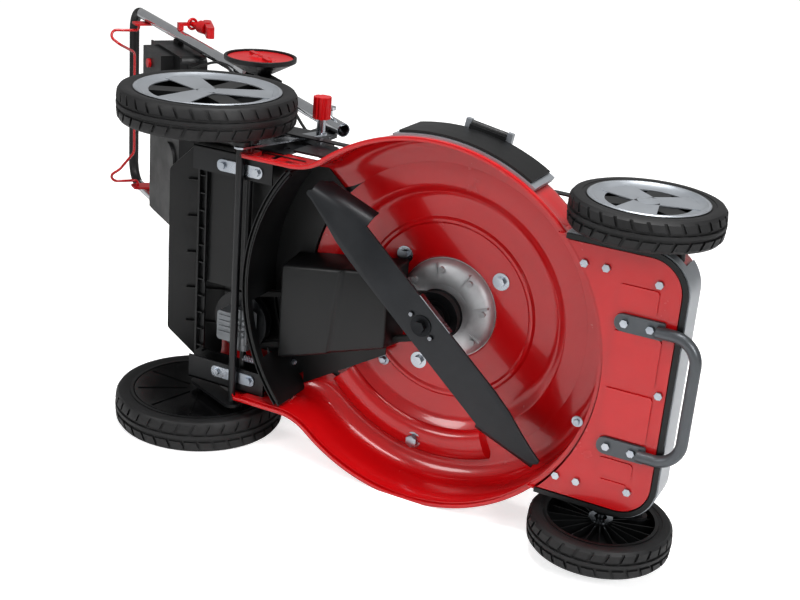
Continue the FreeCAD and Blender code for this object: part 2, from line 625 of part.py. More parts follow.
# ---------------------------------------------------------------- engine
def engine_block():
    foot = rod_z(0, 0, ENGINE_Z, ENGINE_Z + 12, ENGINE_FOOT_R)
    case = plate_z([(-98, -88), (70, -88), (70, 88), (-98, 88)], 30, ENGINE_Z + 6, 300)
    barrel = box(60, 150, -48, 48, 222, 306)
    fins = [box(72, 176, -58, 58, 226 + 11 * i, 230 + 11 * i) for i in range(7)]
    head = box(150, 182, -52, 52, 224, 302)
    spigot = rod_z(0, 0, DECK_TOP - 14, ENGINE_Z + 2, 40)
    body = fuse([foot, case, barrel, head, spigot] + fins)
    holes = [rod_z(0, 0, 150, 320, CRANK_R + RUN_FIT)]
    holes += [rod_z(x, y, ENGINE_Z - 1, ENGINE_Z + 30, M8 + BOLT_FIT) for x, y in ENGINE_BOLTS]
    return cut(body, holes)


def blower_housing():
    """Pressed cover over the flywheel that blows air across the cylinder."""
    low, high = SHROUD_Z
    outer = fuse([rod_z(0, 0, low, high, SHROUD_R), plate_z([(0, -72), (196, -72), (196, 72), (0, 72)],
                                                            24, low, high - 26)])
    t = SHEET
    inner = fuse([rod_z(0, 0, low - 1, high - t, SHROUD_R - t),
                  plate_z([(0, -72 + t), (196 - t, -72 + t), (196 - t, 72 - t), (0, 72 - t)],
                          20, low - 1, high - 26 - t)])
    shell = cut(outer, [inner, rod_z(0, 0, high - 10, high + 1, 72)])
    return shell


def recoil_cover():
    low, high = SHROUD_Z[1] + 0.2, SHROUD_Z[1] + 38
    outer = turned([(0, low), (86, low), (86, high - 12), (58, high), (0, high)],
                   [0, 0, 12, 10, 0], Vector(0, 0, 0), Z_AXIS)
    inner = rod_z(0, 0, low - 1, high - 16, 76)
    slots = []
    for i in range(12):
        slot = box(32, 54, -3.5, 3.5, high - 20, high + 1)
        slot.rotate(Vector(0, 0, 0), Z_AXIS, 30 * i)
        slots.append(slot)
    return cut(outer, [inner] + slots)


def fuel_tank():
    x0, x1, y0, y1, t = TANK_X - 34, TANK_X + 34, TANK_Y - 75, TANK_Y + 75, SHEET
    outer = plate_z([(x0, y0), (x1, y0), (x1, y1), (x0, y1)], 22, 262, 352)
    inner = plate_z([(x0 + t, y0 + t), (x1 - t, y0 + t), (x1 - t, y1 - t), (x0 + t, y1 - t)], 19, 265, 349)
    neck = cut(rod_z(TANK_X, TANK_Y, 350, 366, 20), [rod_z(TANK_X, TANK_Y, 340, 370, 16)])
    shell = cut(outer, [inner, rod_z(TANK_X, TANK_Y, 345, 370, 16)])
    tab = box(x1 - 2, -98.3, -20, 30, 268, 282)
    return fuse([shell, neck, tab])


def fuel_cap():
    cap = turned([(0, 366.5), (27, 366.5), (27, 382), (0, 382)], [0, 2, 4, 0],
                 Vector(TANK_X, TANK_Y, 0), Z_AXIS)
    grooves = []
    for i in range(12):
        angle = math.radians(30 * i)
        grooves.append(rod_z(TANK_X + 28 * math.cos(angle), TANK_Y + 28 * math.sin(angle), 360, 390, 2.4))
    return cut(cap, grooves)


def air_filter():
    shell = plate_z([(-40, 124), (70, 124), (70, 172), (-40, 172)], 14, 236, 330)
    ribs = [box(-20 + 18 * i, -14 + 18 * i, 170, 175, 250, 316) for i in range(5)]
    duct = box(0, 30, 88.4, 126, 262, 292)
    return fuse([shell, duct] + ribs)


def muffler():
    can = plate_z([(40, -150), (150, -150), (150, -92), (40, -92)], 20, 232, 300)
    pipe = rod(Vector(110, -95, 264), Vector(110, -52.5, 264), 10)
    slots = [box(60 + 14 * i, 68 + 14 * i, -152, -146, 246, 286) for i in range(6)]
    return cut(fuse([can, cut(pipe, [box(60, 176, -58.3, -40, 200, 320)])]), slots)


# ---------------------------------------------------------------- rotor
def crankshaft():
    low = BLADE_Z + BLADE_T + 8
    return cut(rod_z(0, 0, low, CRANK_TOP, CRANK_R), [rod_z(0, 0, low - 1, low + 30, 5.0)])


def flywheel():
    low, high = 330.0, 362.0
    rim = cut(rod_z(0, 0, low, high, 92), [rod_z(0, 0, low + 8, high + 1, 74)])
    hub = rod_z(0, 0, low, high + 6, 26)
    fins = []
    for i in range(16):
        fin = box(76, 90, -1.5, 1.5, high - 2, high + 16)
        fin.rotate(Vector(0, 0, 0), Z_AXIS, 22.5 * i + 3)
        fins.append(fin)
    return cut(fuse([rim, hub] + fins), [rod_z(0, 0, low - 1, high + 20, CRANK_R + RUN_FIT)])


def blade_adaptor():
    """Hub pressed on the crank: it carries the belt's groove and clamps the blade."""
    top = BLADE_Z + BLADE_T
    flange = rod_z(0, 0, top + 0.05, top + 9, ADAPTOR_R)
    neck = rod_z(0, 0, top + 8, BELT_Z - 12, 20)
    half = 9.0
    pulley = turned([(10, BELT_Z - half), (PULLEY_R, BELT_Z - half), (PULLEY_R, BELT_Z - half + 1.5),
                     (PULLEY_R - GROOVE_DEPTH, BELT_Z - BELT_W / 2), (PULLEY_R - GROOVE_DEPTH, BELT_Z + BELT_W / 2),
                     (PULLEY_R, BELT_Z + half - 1.5), (PULLEY_R, BELT_Z + half), (10, BELT_Z + half)],
                    0, Vector(0, 0, 0), Z_AXIS)
    groove = cut(rod_z(0, 0, BELT_Z - BELT_W / 2 - 0.4, BELT_Z + BELT_W / 2 + 0.4, PULLEY_R + 1),
                 [rod_z(0, 0, BELT_Z - 20, BELT_Z + 20, PULLEY_R - GROOVE_DEPTH)])
    body = cut(fuse([flange, neck, rod_z(0, 0, BELT_Z - 13, BELT_Z - half + 1, 26), pulley]), [groove])
    pins = [rod_z(r * math.cos(math.radians(BLADE_DEG)), r * math.sin(math.radians(BLADE_DEG)),
                  BLADE_Z - 3, top + 4, 4.0) for r in (-22.0, 22.0)]
    bore = rod_z(0, 0, top - 1, BELT_Z + 20, CRANK_R + RUN_FIT)
    return cut(fuse([body] + pins), [bore])


def blade():
    """Pressed steel blade with lifted wings on its trailing edges."""
    half, w = BLADE_L / 2, BLADE_W / 2
    line = [(-half, -w + 6), (-half + 70, -w), (half - 70, -w), (half - 16, -w + 12), (half, w - 6),
            (half - 70, w), (-half + 70, w), (-half + 16, w - 12)]
    flat = plate_z(line, [4, 30, 30, 8, 4, 30, 30, 8], BLADE_Z, BLADE_Z + BLADE_T)
    wing = plate_y([(0, 0), (78, 0), (72, 20), (10, 12)], [1, 3, 6, 6], 0, BLADE_T)
    wing.rotate(Vector(0, 0, 0), X_AXIS, -38)
    wing.translate(Vector(half - 84, w - 7, BLADE_Z + 1))
    other = wing.copy()
    other.rotate(Vector(0, 0, 0), Z_AXIS, 180)
    body = fuse([flat, wing, other])
    holes = [rod_z(0, 0, BLADE_Z - 5, BLADE_Z + 10, 5.0 + BOLT_FIT)]
    holes += [rod_z(r, 0, BLADE_Z - 5, BLADE_Z + 10, 4.0 + BOLT_FIT) for r in (-22.0, 22.0)]
    body = cut(body, holes)
    body.rotate(Vector(0, 0, 0), Z_AXIS, BLADE_DEG)
    return body


def blade_bolt():
    return hex_bolt(0, 0, BLADE_Z - 0.05, 16, 8, 4.9, 36, 16.0)


# ---------------------------------------------------------------- wheels
def tyre(radius, rim_r, width):
    """Tyre about the Y axis at the origin, from y = 0 (inner side) to its width."""
    crown = 7.0
    line = [(rim_r, 2), (radius - 10, 0), (radius, crown), (radius, width - crown), (radius - 10, width),
            (rim_r, width - 2)]
    body = turned(line, [0, 5, 4, 4, 5, 0], Vector(0, 0, 0), Y_AXIS)
    cuts = []
    count = 30
    for i in range(count):
        for y0, phase in ((-1.0, 0.0), (width * 0.58, 0.5)):
            notch = box(radius - 2.2, radius + 2, y0, y0 + width * 0.42 + 1, -3.0, 3.0)
            notch.rotate(Vector(0, 0, 0), Y_AXIS, 360.0 / count * (i + phase))
            cuts.append(notch)
    return cut(body, cuts)


def hub(rim_r, width, geared):
    """Moulded wheel centre: barrel, web, boss and a dished outer face with three spokes."""
    outer = rim_r - BODY_GAP / 2
    barrel = cut(rod_y(0, 0, 1, width - 1, outer), [rod_y(0, 0, 0, width, outer - RIM_WALL)])
    web_y = width * 0.46
    web = rod_y(0, 0, web_y, web_y + 4, outer - 1)
    boss = rod_y(0, 0, 6, width - 9, BOSS_R)
    parts = [barrel, web, boss]
    for i in range(3):
        spoke = box(0, outer - 2, web_y + 2, width - 6, -16, 16)
        spoke.rotate(Vector(0, 0, 0), Y_AXIS, 30 + 120 * i)
        parts.append(spoke)
    if geared:
        parts.append(ring_gear(outer - RIM_WALL, web_y))
    else:
        for i in range(20):
            rib = box(BOSS_R - 1, outer - RIM_WALL + 1, 8, web_y + 1, -1, 1)
            rib.rotate(Vector(0, 0, 0), Y_AXIS, 18 * i)
            parts.append(rib)
    return cut(fuse(parts), [rod_y(0, 0, -1, width + 1, SPINDLE_R + RUN_FIT)])


def gear_line(teeth, root, tip, root_w, tip_w, centre_deg):
    """Corner points (x, z) of a ring of plain tapered teeth, one of them centred on an angle."""
    points = []
    for i in range(teeth):
        middle = math.radians(centre_deg + 360.0 / teeth * i)
        for radius, width in ((root, -root_w), (tip, -tip_w), (tip, tip_w), (root, root_w)):
            angle = middle + width / 2 / radius
            points.append((radius * math.cos(angle), radius * math.sin(angle)))
    return points


def ring_gear(outer, depth):
    """Internal teeth round the rear wheel's hub; a gap faces the drive shaft."""
    pitch_r = GEAR_M * RING_TEETH / 2
    half_tooth = 180.0 / RING_TEETH
    hollow = gear_line(RING_TEETH, pitch_r - 1.8, pitch_r + 2.2, 4.9, 2.9, SHAFT_DEG + 2 * half_tooth)
    disc = rod_y(0, 0, 5, depth + 1, outer + 1)
    return cut(disc, [plate_y(hollow, 0, 4, depth + 2)])


def pinion():
    pitch_r = GEAR_M * PINION_TEETH / 2
    line = gear_line(PINION_TEETH, pitch_r - 2.4, pitch_r + 1.5, 3.4, 1.5, SHAFT_DEG)
    body = plate_y(line, 0, REAR_Y + 6.5, REAR_Y + 20)
    body = cut(body, [rod_y(0, 0, REAR_Y, REAR_Y + 30, SHAFT_R + RUN_FIT)])
    body.translate(Vector(SHAFT_X, 0, SHAFT_Z))
    return body


def set_wheel(shape, x, z, y, side):
    """Put a wheel piece drawn at the origin on the mower's left (1) or right (-1)."""
    moved = shape.copy()
    moved.translate(Vector(x, y, z))
    return moved if side > 0 else mirrored(moved)


# ---------------------------------------------------------------- axles and drive
def rear_axle():
    """One torsion rod with a crank arm and a wheel spindle at each end."""
    y0 = ARM_Y - ARM_T
    arm = capsule_y((AXLE_X, AXLE_Z), (REAR_X, REAR_R), ARM_R, y0, ARM_Y)
    boss = rod_y(SHAFT_X, SHAFT_Z, y0, ARM_Y, SHAFT_R + 7)
    spindle = rod_y(REAR_X, REAR_R, y0, REAR_Y + REAR_W - 7, SPINDLE_R)
    half = fuse([arm, boss, spindle])
    half = cut(half, [rod_y(SHAFT_X, SHAFT_Z, y0 - 1, ARM_Y + 1, SHAFT_R + RUN_FIT)])
    rod_bar = rod_y(AXLE_X, AXLE_Z, -ARM_Y, ARM_Y, AXLE_R)
    return fuse([rod_bar, half, mirrored(half)])


def dust_covers():
    """Fixed discs that close the rear wheels' inner sides over the gears."""
    y0 = REAR_Y + 1.5
    disc = rod_y(REAR_X, REAR_R, y0, y0 + 2, REAR_RIM_R - RIM_WALL - 2)
    ribs = []
    for i in range(9):
        rib = box(22, REAR_RIM_R - RIM_WALL - 8, y0 - 1.5, y0 + 0.5, -1.2, 1.2)
        rib.rotate(Vector(0, 0, 0), Y_AXIS, 40 * i + 24)
        rib.translate(Vector(REAR_X, 0, REAR_R))
        ribs.append(rib)
    holes = [rod_y(REAR_X, REAR_R, y0 - 5, y0 + 5, SPINDLE_R + RUN_FIT),
             rod_y(SHAFT_X, SHAFT_Z, y0 - 5, y0 + 5, SHAFT_R + 1)]
    return pair(cut(fuse([disc] + ribs), holes))


LEVER_TOP = (-268.0, 252.0)


def height_lever():
    """Steel lever on the right end of the axle's rod, with the link's pin."""
    y0, y1 = -RAIL_Y - 8.0, -RAIL_Y - 5.0
    low = capsule_y((AXLE_X, AXLE_Z), LEVER_TOP, 10, y0, y1)
    out = rod(Vector(LEVER_TOP[0], y1, LEVER_TOP[1]), Vector(LEVER_TOP[0], -239, LEVER_TOP[1]), 7)
    pin = rod_y(AXLE_X, AXLE_Z + LINK_UP_REAR, -LINK_Y - 2.5, y0 + 1, 4)
    link_ear = capsule_y((AXLE_X, AXLE_Z), (AXLE_X, AXLE_Z + LINK_UP_REAR), 9, y0, y1)
    body = fuse([low, out, link_ear, pin])
    return cut(body, [rod_y(AXLE_X, AXLE_Z, y0 - 1, y1 + 1, AXLE_R + RUN_FIT),
                      rod_y(SHAFT_X, SHAFT_Z, y0 - 1, y1 + 1, SHAFT_R + 1)])


def height_knob():
    x, z = LEVER_TOP
    body = cut(rod_y(x, z, -262, -228, 14), [rod_y(x, z, -239.2, -220, 7 + RUN_FIT)])
    flutes = []
    for i in range(8):
        angle = math.radians(45 * i)
        flutes.append(rod_y(x + 15 * math.cos(angle), z + 15 * math.sin(angle), -270, -220, 2.6))
    return cut(body, flutes)


def drive_shaft():
    reach = REAR_Y + 21
    return rod_y(SHAFT_X, SHAFT_Z, -reach, reach, SHAFT_R)


def gearbox_case():
    """Aluminium worm gearbox hung on the drive shaft."""
    x0, x1 = GEARBOX_PULLEY_X - 22, SHAFT_X + 11
    y0, y1 = GEARBOX_Y - 24, GEARBOX_Y + 24
    z0, z1 = SHAFT_Z - 8.5, BELT_Z - 13
    body = plate_z([(x0, y0), (x1, y0), (x1, y1), (x0, y1)], 5, z0, z1)
    ribs = [box(x0 + 4, x1 - 4, y, y + 2.5, z0 - 2, z0 + 1) for y in (y0 + 6, y0 + 15, y0 + 24, y0 + 33)]
    ears = rod_y(SHAFT_X, SHAFT_Z, y0 - 10, y1 + 10, 10.5)
    neck = rod_z(GEARBOX_PULLEY_X, GEARBOX_Y, z1 - 1, z1 + 3, 14)
    body = fuse([body, ears, neck] + ribs)
    return cut(body, [rod_y(SHAFT_X, SHAFT_Z, y0 - 20, y1 + 20, SHAFT_R + RUN_FIT),
                      rod_z(GEARBOX_PULLEY_X, GEARBOX_Y, z1 - 22, z1 + 9, 6 + RUN_FIT)])


def gearbox_pulley():
    half = 8.0
    z0, z1 = BELT_Z - half, BELT_Z + half
    disc = rod_z(GEARBOX_PULLEY_X, GEARBOX_Y, z0, z1, GEARBOX_PULLEY_R)
    groove = cut(rod_z(GEARBOX_PULLEY_X, GEARBOX_Y, BELT_Z - BELT_W / 2 - 0.4, BELT_Z + BELT_W / 2 + 0.4,
                       GEARBOX_PULLEY_R + 1),
                 [rod_z(GEARBOX_PULLEY_X, GEARBOX_Y, z0, z1, GEARBOX_PULLEY_R - GROOVE_DEPTH)])
    stub = rod_z(GEARBOX_PULLEY_X, GEARBOX_Y, BELT_Z - 34, z0 + 1, 6)
    return fuse([cut(disc, [groove]), stub])


def front_axle():
    """Torsion rod inside the nose with a crank arm and spindle at each end."""
    y0 = FRONT_ARM_Y - ARM_T
    arm = capsule_y((FRONT_AXLE_X, FRONT_AXLE_Z), (FRONT_X, FRONT_R), ARM_R - 2, y0, FRONT_ARM_Y)
    spindle = rod_y(FRONT_X, FRONT_R, y0, FRONT_Y + FRONT_W - 7, SPINDLE_R)
    half = fuse([arm, spindle])
    bar = rod_y(FRONT_AXLE_X, FRONT_AXLE_Z, -FRONT_ARM_Y, FRONT_ARM_Y, AXLE_R)
    ear = mirrored(capsule_y((FRONT_AXLE_X, FRONT_AXLE_Z), (FRONT_AXLE_X, FRONT_AXLE_Z + LINK_UP_FRONT), 8,
                             y0, FRONT_ARM_Y))
    pin = rod_y(FRONT_AXLE_X, FRONT_AXLE_Z + LINK_UP_FRONT, -LINK_Y - 1.4, -y0, 4)
    return fuse([bar, half, mirrored(half), ear, pin])


def link_rod():
    """Flat bar over the deck's right edge that turns the front axle with the rear one."""
    rear = (AXLE_X, AXLE_Z + LINK_UP_REAR)
    front = (FRONT_AXLE_X, FRONT_AXLE_Z + LINK_UP_FRONT)
    y0, y1 = -LINK_Y - 1.0, -LINK_Y + 1.0
    bar = capsule_y(rear, front, 7, y0, y1)
    eye = rod_y(front[0], front[1], y0, y1, 18)
    body = fuse([bar, eye])
    return cut(body, [rod_y(rear[0], rear[1], y0 - 1, y1 + 1, 4 + RUN_FIT),
                      rod_y(front[0], front[1], y0 - 1, y1 + 1, 13)])


def rear_door():
    """Sloping flap over the rear discharge opening: its moulded pins turn in the brackets."""
    half = RAIL_Y - 17
    flat = plate_z([(0, -half), (DOOR_L - 46, -half), (DOOR_L, -half + 46), (DOOR_L, half - 46),
                    (DOOR_L - 46, half), (0, half)], [2, 12, 12, 12, 12, 2], -4, 0)
    ribs = [box(18, DOOR_L - 30, y, y + 2.5, -0.5, 6) for y in (-120.0, -60.0, 0.0, 60.0, 117.5)]
    barrel = rod_y(0, 0, -half, half, 6)
    pins = rod_y(0, 0, -RAIL_Y + DECK_T + 0.7, RAIL_Y - DECK_T - 0.7, DOOR_PIN_R)
    door = fuse([flat, barrel, pins] + ribs)
    door.rotate(Vector(0, 0, 0), Y_AXIS, 180 - DOOR_DROP_DEG)
    door.translate(Vector(DOOR_PIVOT[0], 0, DOOR_PIVOT[1]))
    return door


# ---------------------------------------------------------------- handle, drawn in its own frame
def tube_between(points, radii):
    outer = bent_rod(points, radii, TUBE_R)
    inner = bent_rod(points, radii, TUBE_R - TUBE_WALL)
    return cut(outer, [inner])


def lower_tubes():
    tubes = []
    for side in (-1, 1):
        y = side * HANDLE_Y
        tube = tube_between([Vector(0, y, 0), Vector(FOLD_S - FOLD_REACH, y, 0)], 0)
        bolt = Part.makeCylinder(M8, 60, Vector(BRACKET_S, y - 30, 0), Y_AXIS)
        tubes.append(cut(tube, [bolt]))
        stud = Part.makeCylinder(M8 - RUN_FIT, 42, Vector(BRACKET_S, y - 21, 0), Y_AXIS)
        head = Part.makeCylinder(9, 5, Vector(BRACKET_S, y + side * 21 - (0 if side > 0 else 5), 0), Y_AXIS)
        tubes.append(fuse([stud, head]))
    return on_handle(group(tubes))


def fold_hubs():
    """Black joint shells on the lower tubes, with the folding joint's pins."""
    shells = []
    y = HANDLE_Y
    half = SOCKET_HALF
    block = cut(box(FOLD_S - 96, FOLD_S - FOLD_REACH, y - half, y + half, -half, half),
                [rod(Vector(FOLD_S - 100, y, 0), Vector(FOLD_S, y, 0), TUBE_R + RUN_FIT)])
    ear = plate_z([(FOLD_S - 80, -half), (FOLD_S + 4, -half), (FOLD_S + 4, half), (FOLD_S - 80, half)], 10, 0, EAR_T)
    ear.rotate(Vector(0, 0, 0), X_AXIS, 90)
    outside = y + half + EAR_T
    ear.translate(Vector(0, outside, 0))
    cone = turned([(0, 0), (24, 0), (HUB_R, HUB_DEPTH - 8), (HUB_R, HUB_DEPTH), (HUB_R - 5, HUB_DEPTH),
                   (HUB_R - 5, HUB_DEPTH - 7), (0, HUB_DEPTH - 7)], [0, 4, 3, 1, 1, 0, 0],
                  Vector(FOLD_S, outside, 0), Y_AXIS)
    inside = y - half - EAR_T
    pin = Part.makeCylinder(5, outside + HUB_DEPTH - 3 - inside, Vector(FOLD_S, inside, 0), Y_AXIS)
    right = fuse([block, ear, cone, pin])
    shells.append(right)
    shells.append(mirrored(right))
    return on_handle(group(shells))


def fold_disc(side):
    """Red dished clamp disc in the joint shell's face."""
    y = HANDLE_Y + SOCKET_HALF + EAR_T + HUB_DEPTH - 7 + 0.4
    disc = turned([(5 + RUN_FIT, y), (HUB_R - 6, y), (HUB_R - 6, y + 3.5), (HUB_R - 16, y + 3), (22, y + 2.5),
                   (16, y + 6), (5 + RUN_FIT, y + 6)],
                  [0, 0.5, 1, 6, 6, 1.5, 0], Vector(FOLD_S, 0, 0), Y_AXIS)
    ridge = [box(FOLD_S + x, FOLD_S + x + 30, y + 1, y + 7, -4, 4) for x in (-44, 14)]
    disc = fuse([disc] + ridge)
    return on_handle(disc if side < 0 else mirrored(disc))


def upper_tube():
    y, start = HANDLE_Y, FOLD_S + FOLD_REACH
    end = HANDLE_END_S
    points = [Vector(start, -y, 0), Vector(end, -y, 0), Vector(end, y, 0), Vector(start, y, 0)]
    tube = tube_between(points, GRIP_BEND_R)
    shoes = []
    half = SHOE_HALF
    block = cut(box(start, start + 45, y - half, y + half, -half, half),
                [rod(Vector(start - 5, y, 0), Vector(start + 60, y, 0), TUBE_R + RUN_FIT)])
    ear = plate_z([(FOLD_S - 4, -half), (start + 30, -half), (start + 30, half), (FOLD_S - 4, half)], 10, 0, EAR_T)
    ear.rotate(Vector(0, 0, 0), X_AXIS, 90)
    ear.translate(Vector(0, y - half, 0))
    shoe = cut(fuse([block, ear]), [Part.makeCylinder(5 + RUN_FIT, 40, Vector(FOLD_S, y - 30, 0), Y_AXIS)])
    shoes.append(shoe)
    shoes.append(mirrored(shoe))
    return on_handle(group([tube] + shoes))


CUP_S, CUP_SIDE, CUP_R = 715.0, -43.0, 36.0
BOX_S, BOX_SIDE, BOX_N = (700.0, 816.0), (112.0, 178.0), (-72.0, -45.0)


def console():
    """Moulded control panel between the upper tubes, with a cup holder."""
    (s0, s1), (n0, n1), half = CONSOLE_S, CONSOLE_N, CONSOLE_Y
    wall = 3.0
    outer = outline_solid([Vector(s0, -half, n0), Vector(s1, -half, n0), Vector(s1, half, n0),
                           Vector(s0, half, n0)], 16, Vector(0, 0, n1 - n0))
    inner = outline_solid([Vector(s0 + wall, -half + wall, n0 - 1), Vector(s1 - wall, -half + wall, n0 - 1),
                           Vector(s1 - wall, half - wall, n0 - 1), Vector(s0 + wall, half - wall, n0 - 1)],
                          13, Vector(0, 0, n1 - wall - n0 + 1))
    panel = cut(outer, [inner])
    cup = rod(Vector(CUP_S, CUP_SIDE, n0 - 6), Vector(CUP_S, CUP_SIDE, n1 - 1), CUP_R + wall)
    bore = rod(Vector(CUP_S, CUP_SIDE, n0 - 3), Vector(CUP_S, CUP_SIDE, n1 + 5), CUP_R)
    base = box(s0 + 1, s1 - 1, -half + 1, half - 1, n0, n0 + wall)
    switch = box(BOX_S[0], BOX_S[1], BOX_SIDE[0], BOX_SIDE[1], BOX_N[0], BOX_N[1] + 2)
    lugs = [box(s1 - 60, s1 - 30, side * half - 6, side * half + 6, -6, 6) for side in (-1, 1)]
    lugs = [cut(lug, [rod(Vector(s0, side * HANDLE_Y, 0), Vector(s1, side * HANDLE_Y, 0), TUBE_R + 0.1)])
            for lug, side in zip(lugs, (-1, 1))]
    body = cut(fuse([panel, base, cup, switch] + lugs), [bore])
    slot = box(LEVER_S - 34, LEVER_S + 34, LEVER_SIDE - 5, LEVER_SIDE + 5, n1 - 20, n1 + 5)
    button_hole = rod(Vector(BUTTON_S, BUTTON_SIDE, BOX_N[0] - 1), Vector(BUTTON_S, BUTTON_SIDE, BOX_N[0] + 12),
                      9 + BODY_GAP)
    return on_handle(cut(body, [slot, button_hole]))


LEVER_S, LEVER_SIDE, LEVER_N = 790.0, 60.0, -14.0
BUTTON_S, BUTTON_SIDE = 770.0, 150.0


def drive_lever():
    """Red speed lever that swings in the panel's slot."""
    top = CONSOLE_N[1]
    stem = box(LEVER_S - 4, LEVER_S + 4, LEVER_SIDE - 3, LEVER_SIDE + 3, LEVER_N, top + 22)
    barrel = Part.makeCylinder(7, 8, Vector(LEVER_S, LEVER_SIDE - 4, LEVER_N), Y_AXIS)
    knob = outline_solid([Vector(LEVER_S - 12, LEVER_SIDE - 9, top + 20), Vector(LEVER_S + 12, LEVER_SIDE - 9, top + 20),
                          Vector(LEVER_S + 12, LEVER_SIDE + 9, top + 20), Vector(LEVER_S - 12, LEVER_SIDE + 9, top + 20)],
                         6, Vector(0, 0, 14))
    return on_handle(fuse([stem, barrel, knob]))


def start_button():
    face = rod(Vector(BUTTON_S, BUTTON_SIDE, BOX_N[0] - 6), Vector(BUTTON_S, BUTTON_SIDE, BOX_N[0] + 6), 9)
    return on_handle(face)


def handle_fittings():
    """Red bail brackets inside the tubes and the starter grip's guide on the right tube."""
    y1 = HANDLE_Y - TUBE_R - 0.3
    plate = outline_solid([Vector(BAIL_S - 18, y1 - 4, BAIL_N - 12), Vector(BAIL_S + 18, y1 - 4, BAIL_N - 12),
                           Vector(BAIL_S + 18, y1 - 4, 12), Vector(BAIL_S - 18, y1 - 4, 12)], 8,
                          Vector(0, 4, 0))
    plate = cut(plate, [Part.makeCylinder(BAIL_R + RUN_FIT, 12, Vector(BAIL_S, y1 - 8, BAIL_N), Y_AXIS)])
    arm = box(GUIDE_S - 6, GUIDE_S + 6, HANDLE_Y + TUBE_R + 0.2, GUIDE_SIDE + 3, -5, 5)
    post = box(GUIDE_S - 6, GUIDE_S + 6, GUIDE_SIDE - 3, GUIDE_SIDE + 3, -5, GUIDE_N - 8)
    ring = Part.makeTorus(10, 3, Vector(GUIDE_S, GUIDE_SIDE, GUIDE_N), GRIP_DIR)
    return on_handle(group([plate, mirrored(plate), fuse([arm, post, ring])]))


GUIDE_S, GUIDE_SIDE, GUIDE_N = 795.0, 224.0, 26.0
GRIP_DIR = Vector(-0.975, 0, 0.222)


def starter_grip():
    """Red pull grip parked in its guide: stem, block and finger bar."""
    start = Vector(GUIDE_S, GUIDE_SIDE, GUIDE_N)
    stem = rod(start - GRIP_DIR * 6, start + GRIP_DIR * 34, 5.5)
    block = rod(start + GRIP_DIR * 32, start + GRIP_DIR * 58, 13)
    bar = outline_solid([Vector(-8, -11, -48), Vector(8, -11, -48), Vector(8, -11, 48), Vector(-8, -11, 48)],
                        7.5, Vector(0, 22, 0))
    bar.rotate(Vector(0, 0, 0), Y_AXIS, -math.degrees(math.atan2(GRIP_DIR.z, GRIP_DIR.x)) + 62)
    bar.translate(start + GRIP_DIR * 62)
    return on_handle(fuse([stem, block, bar]))


BAIL_HALF = 172.0
BAIL_LINE = [(1012.0, BAIL_HALF, -58.0), (1023.0, BAIL_HALF, -104.0), (1004.0, 142.0, -66.0), (1046.0, 116.0, -20.0)]


def bail():
    """Red wire bail that stops the blade when it is let go."""
    end_y = HANDLE_Y - TUBE_R - 0.9
    right = [Vector(BAIL_S, end_y, BAIL_N), Vector(BAIL_S, BAIL_HALF, BAIL_N)]
    right += [Vector(s, y, n) for s, y, n in BAIL_LINE]
    left = [Vector(p.x, -p.y, p.z) for p in reversed(right)]
    radii = [0, 7, 60, 12, 14, 14]
    return on_handle(bent_rod(right + left, radii + list(reversed(radii)), BAIL_R))


# Cables: (s, right, n) points of two sheathed cables tied along the right tube
CABLE_R = 2.5


def cables_upper():
    n1 = -TUBE_R - CABLE_R - 0.6
    first = [Vector(CONSOLE_S[0] - 2, 164, -28), Vector(632, 166, -29), Vector(595, 180, -24),
             Vector(545, 197, n1 - 2), Vector(495, 205, n1 - 2), Vector(440, 197, n1 - 5),
             Vector(385, 190, n1 - 11), Vector(330, 196, n1 - 12), Vector(275, 200, n1 - 7)]
    return on_handle(bent_rod(first, cable_radii(first), CABLE_R))


def cables_lower():
    n1 = -TUBE_R - CABLE_R - 0.6
    upper = [Vector(274.9, 200, n1 - 7), Vector(215, 204.4, n1 - 1.6), Vector(160, 195, n1 - 3),
             Vector(112, 180, n1 - 6), Vector(66, 173, n1 - 12)]
    down = [handle_point(p.x, p.y, p.z) for p in upper]
    down += [Vector(-286, -166, 292), Vector(-240, -152, 268), Vector(-192, -130, 252), Vector(-142, -106, 246),
             Vector(-98.5, -86, 250)]
    return bent_rod(down, cable_radii(down), CABLE_R)


def cable_radii(points):
    """Arcs of a cable, as large as each corner's two runs allow."""
    radii = [0]
    for before, here, after in zip(points, points[1:], points[2:]):
        inward, outward = here - before, after - here
        half = inward.getAngle(outward) / 2
        radii.append(0.45 * min(inward.Length, outward.Length) / math.tan(half))
    print("cable arcs", [round(r, 1) for r in radii[1:]])
    return radii + [0]


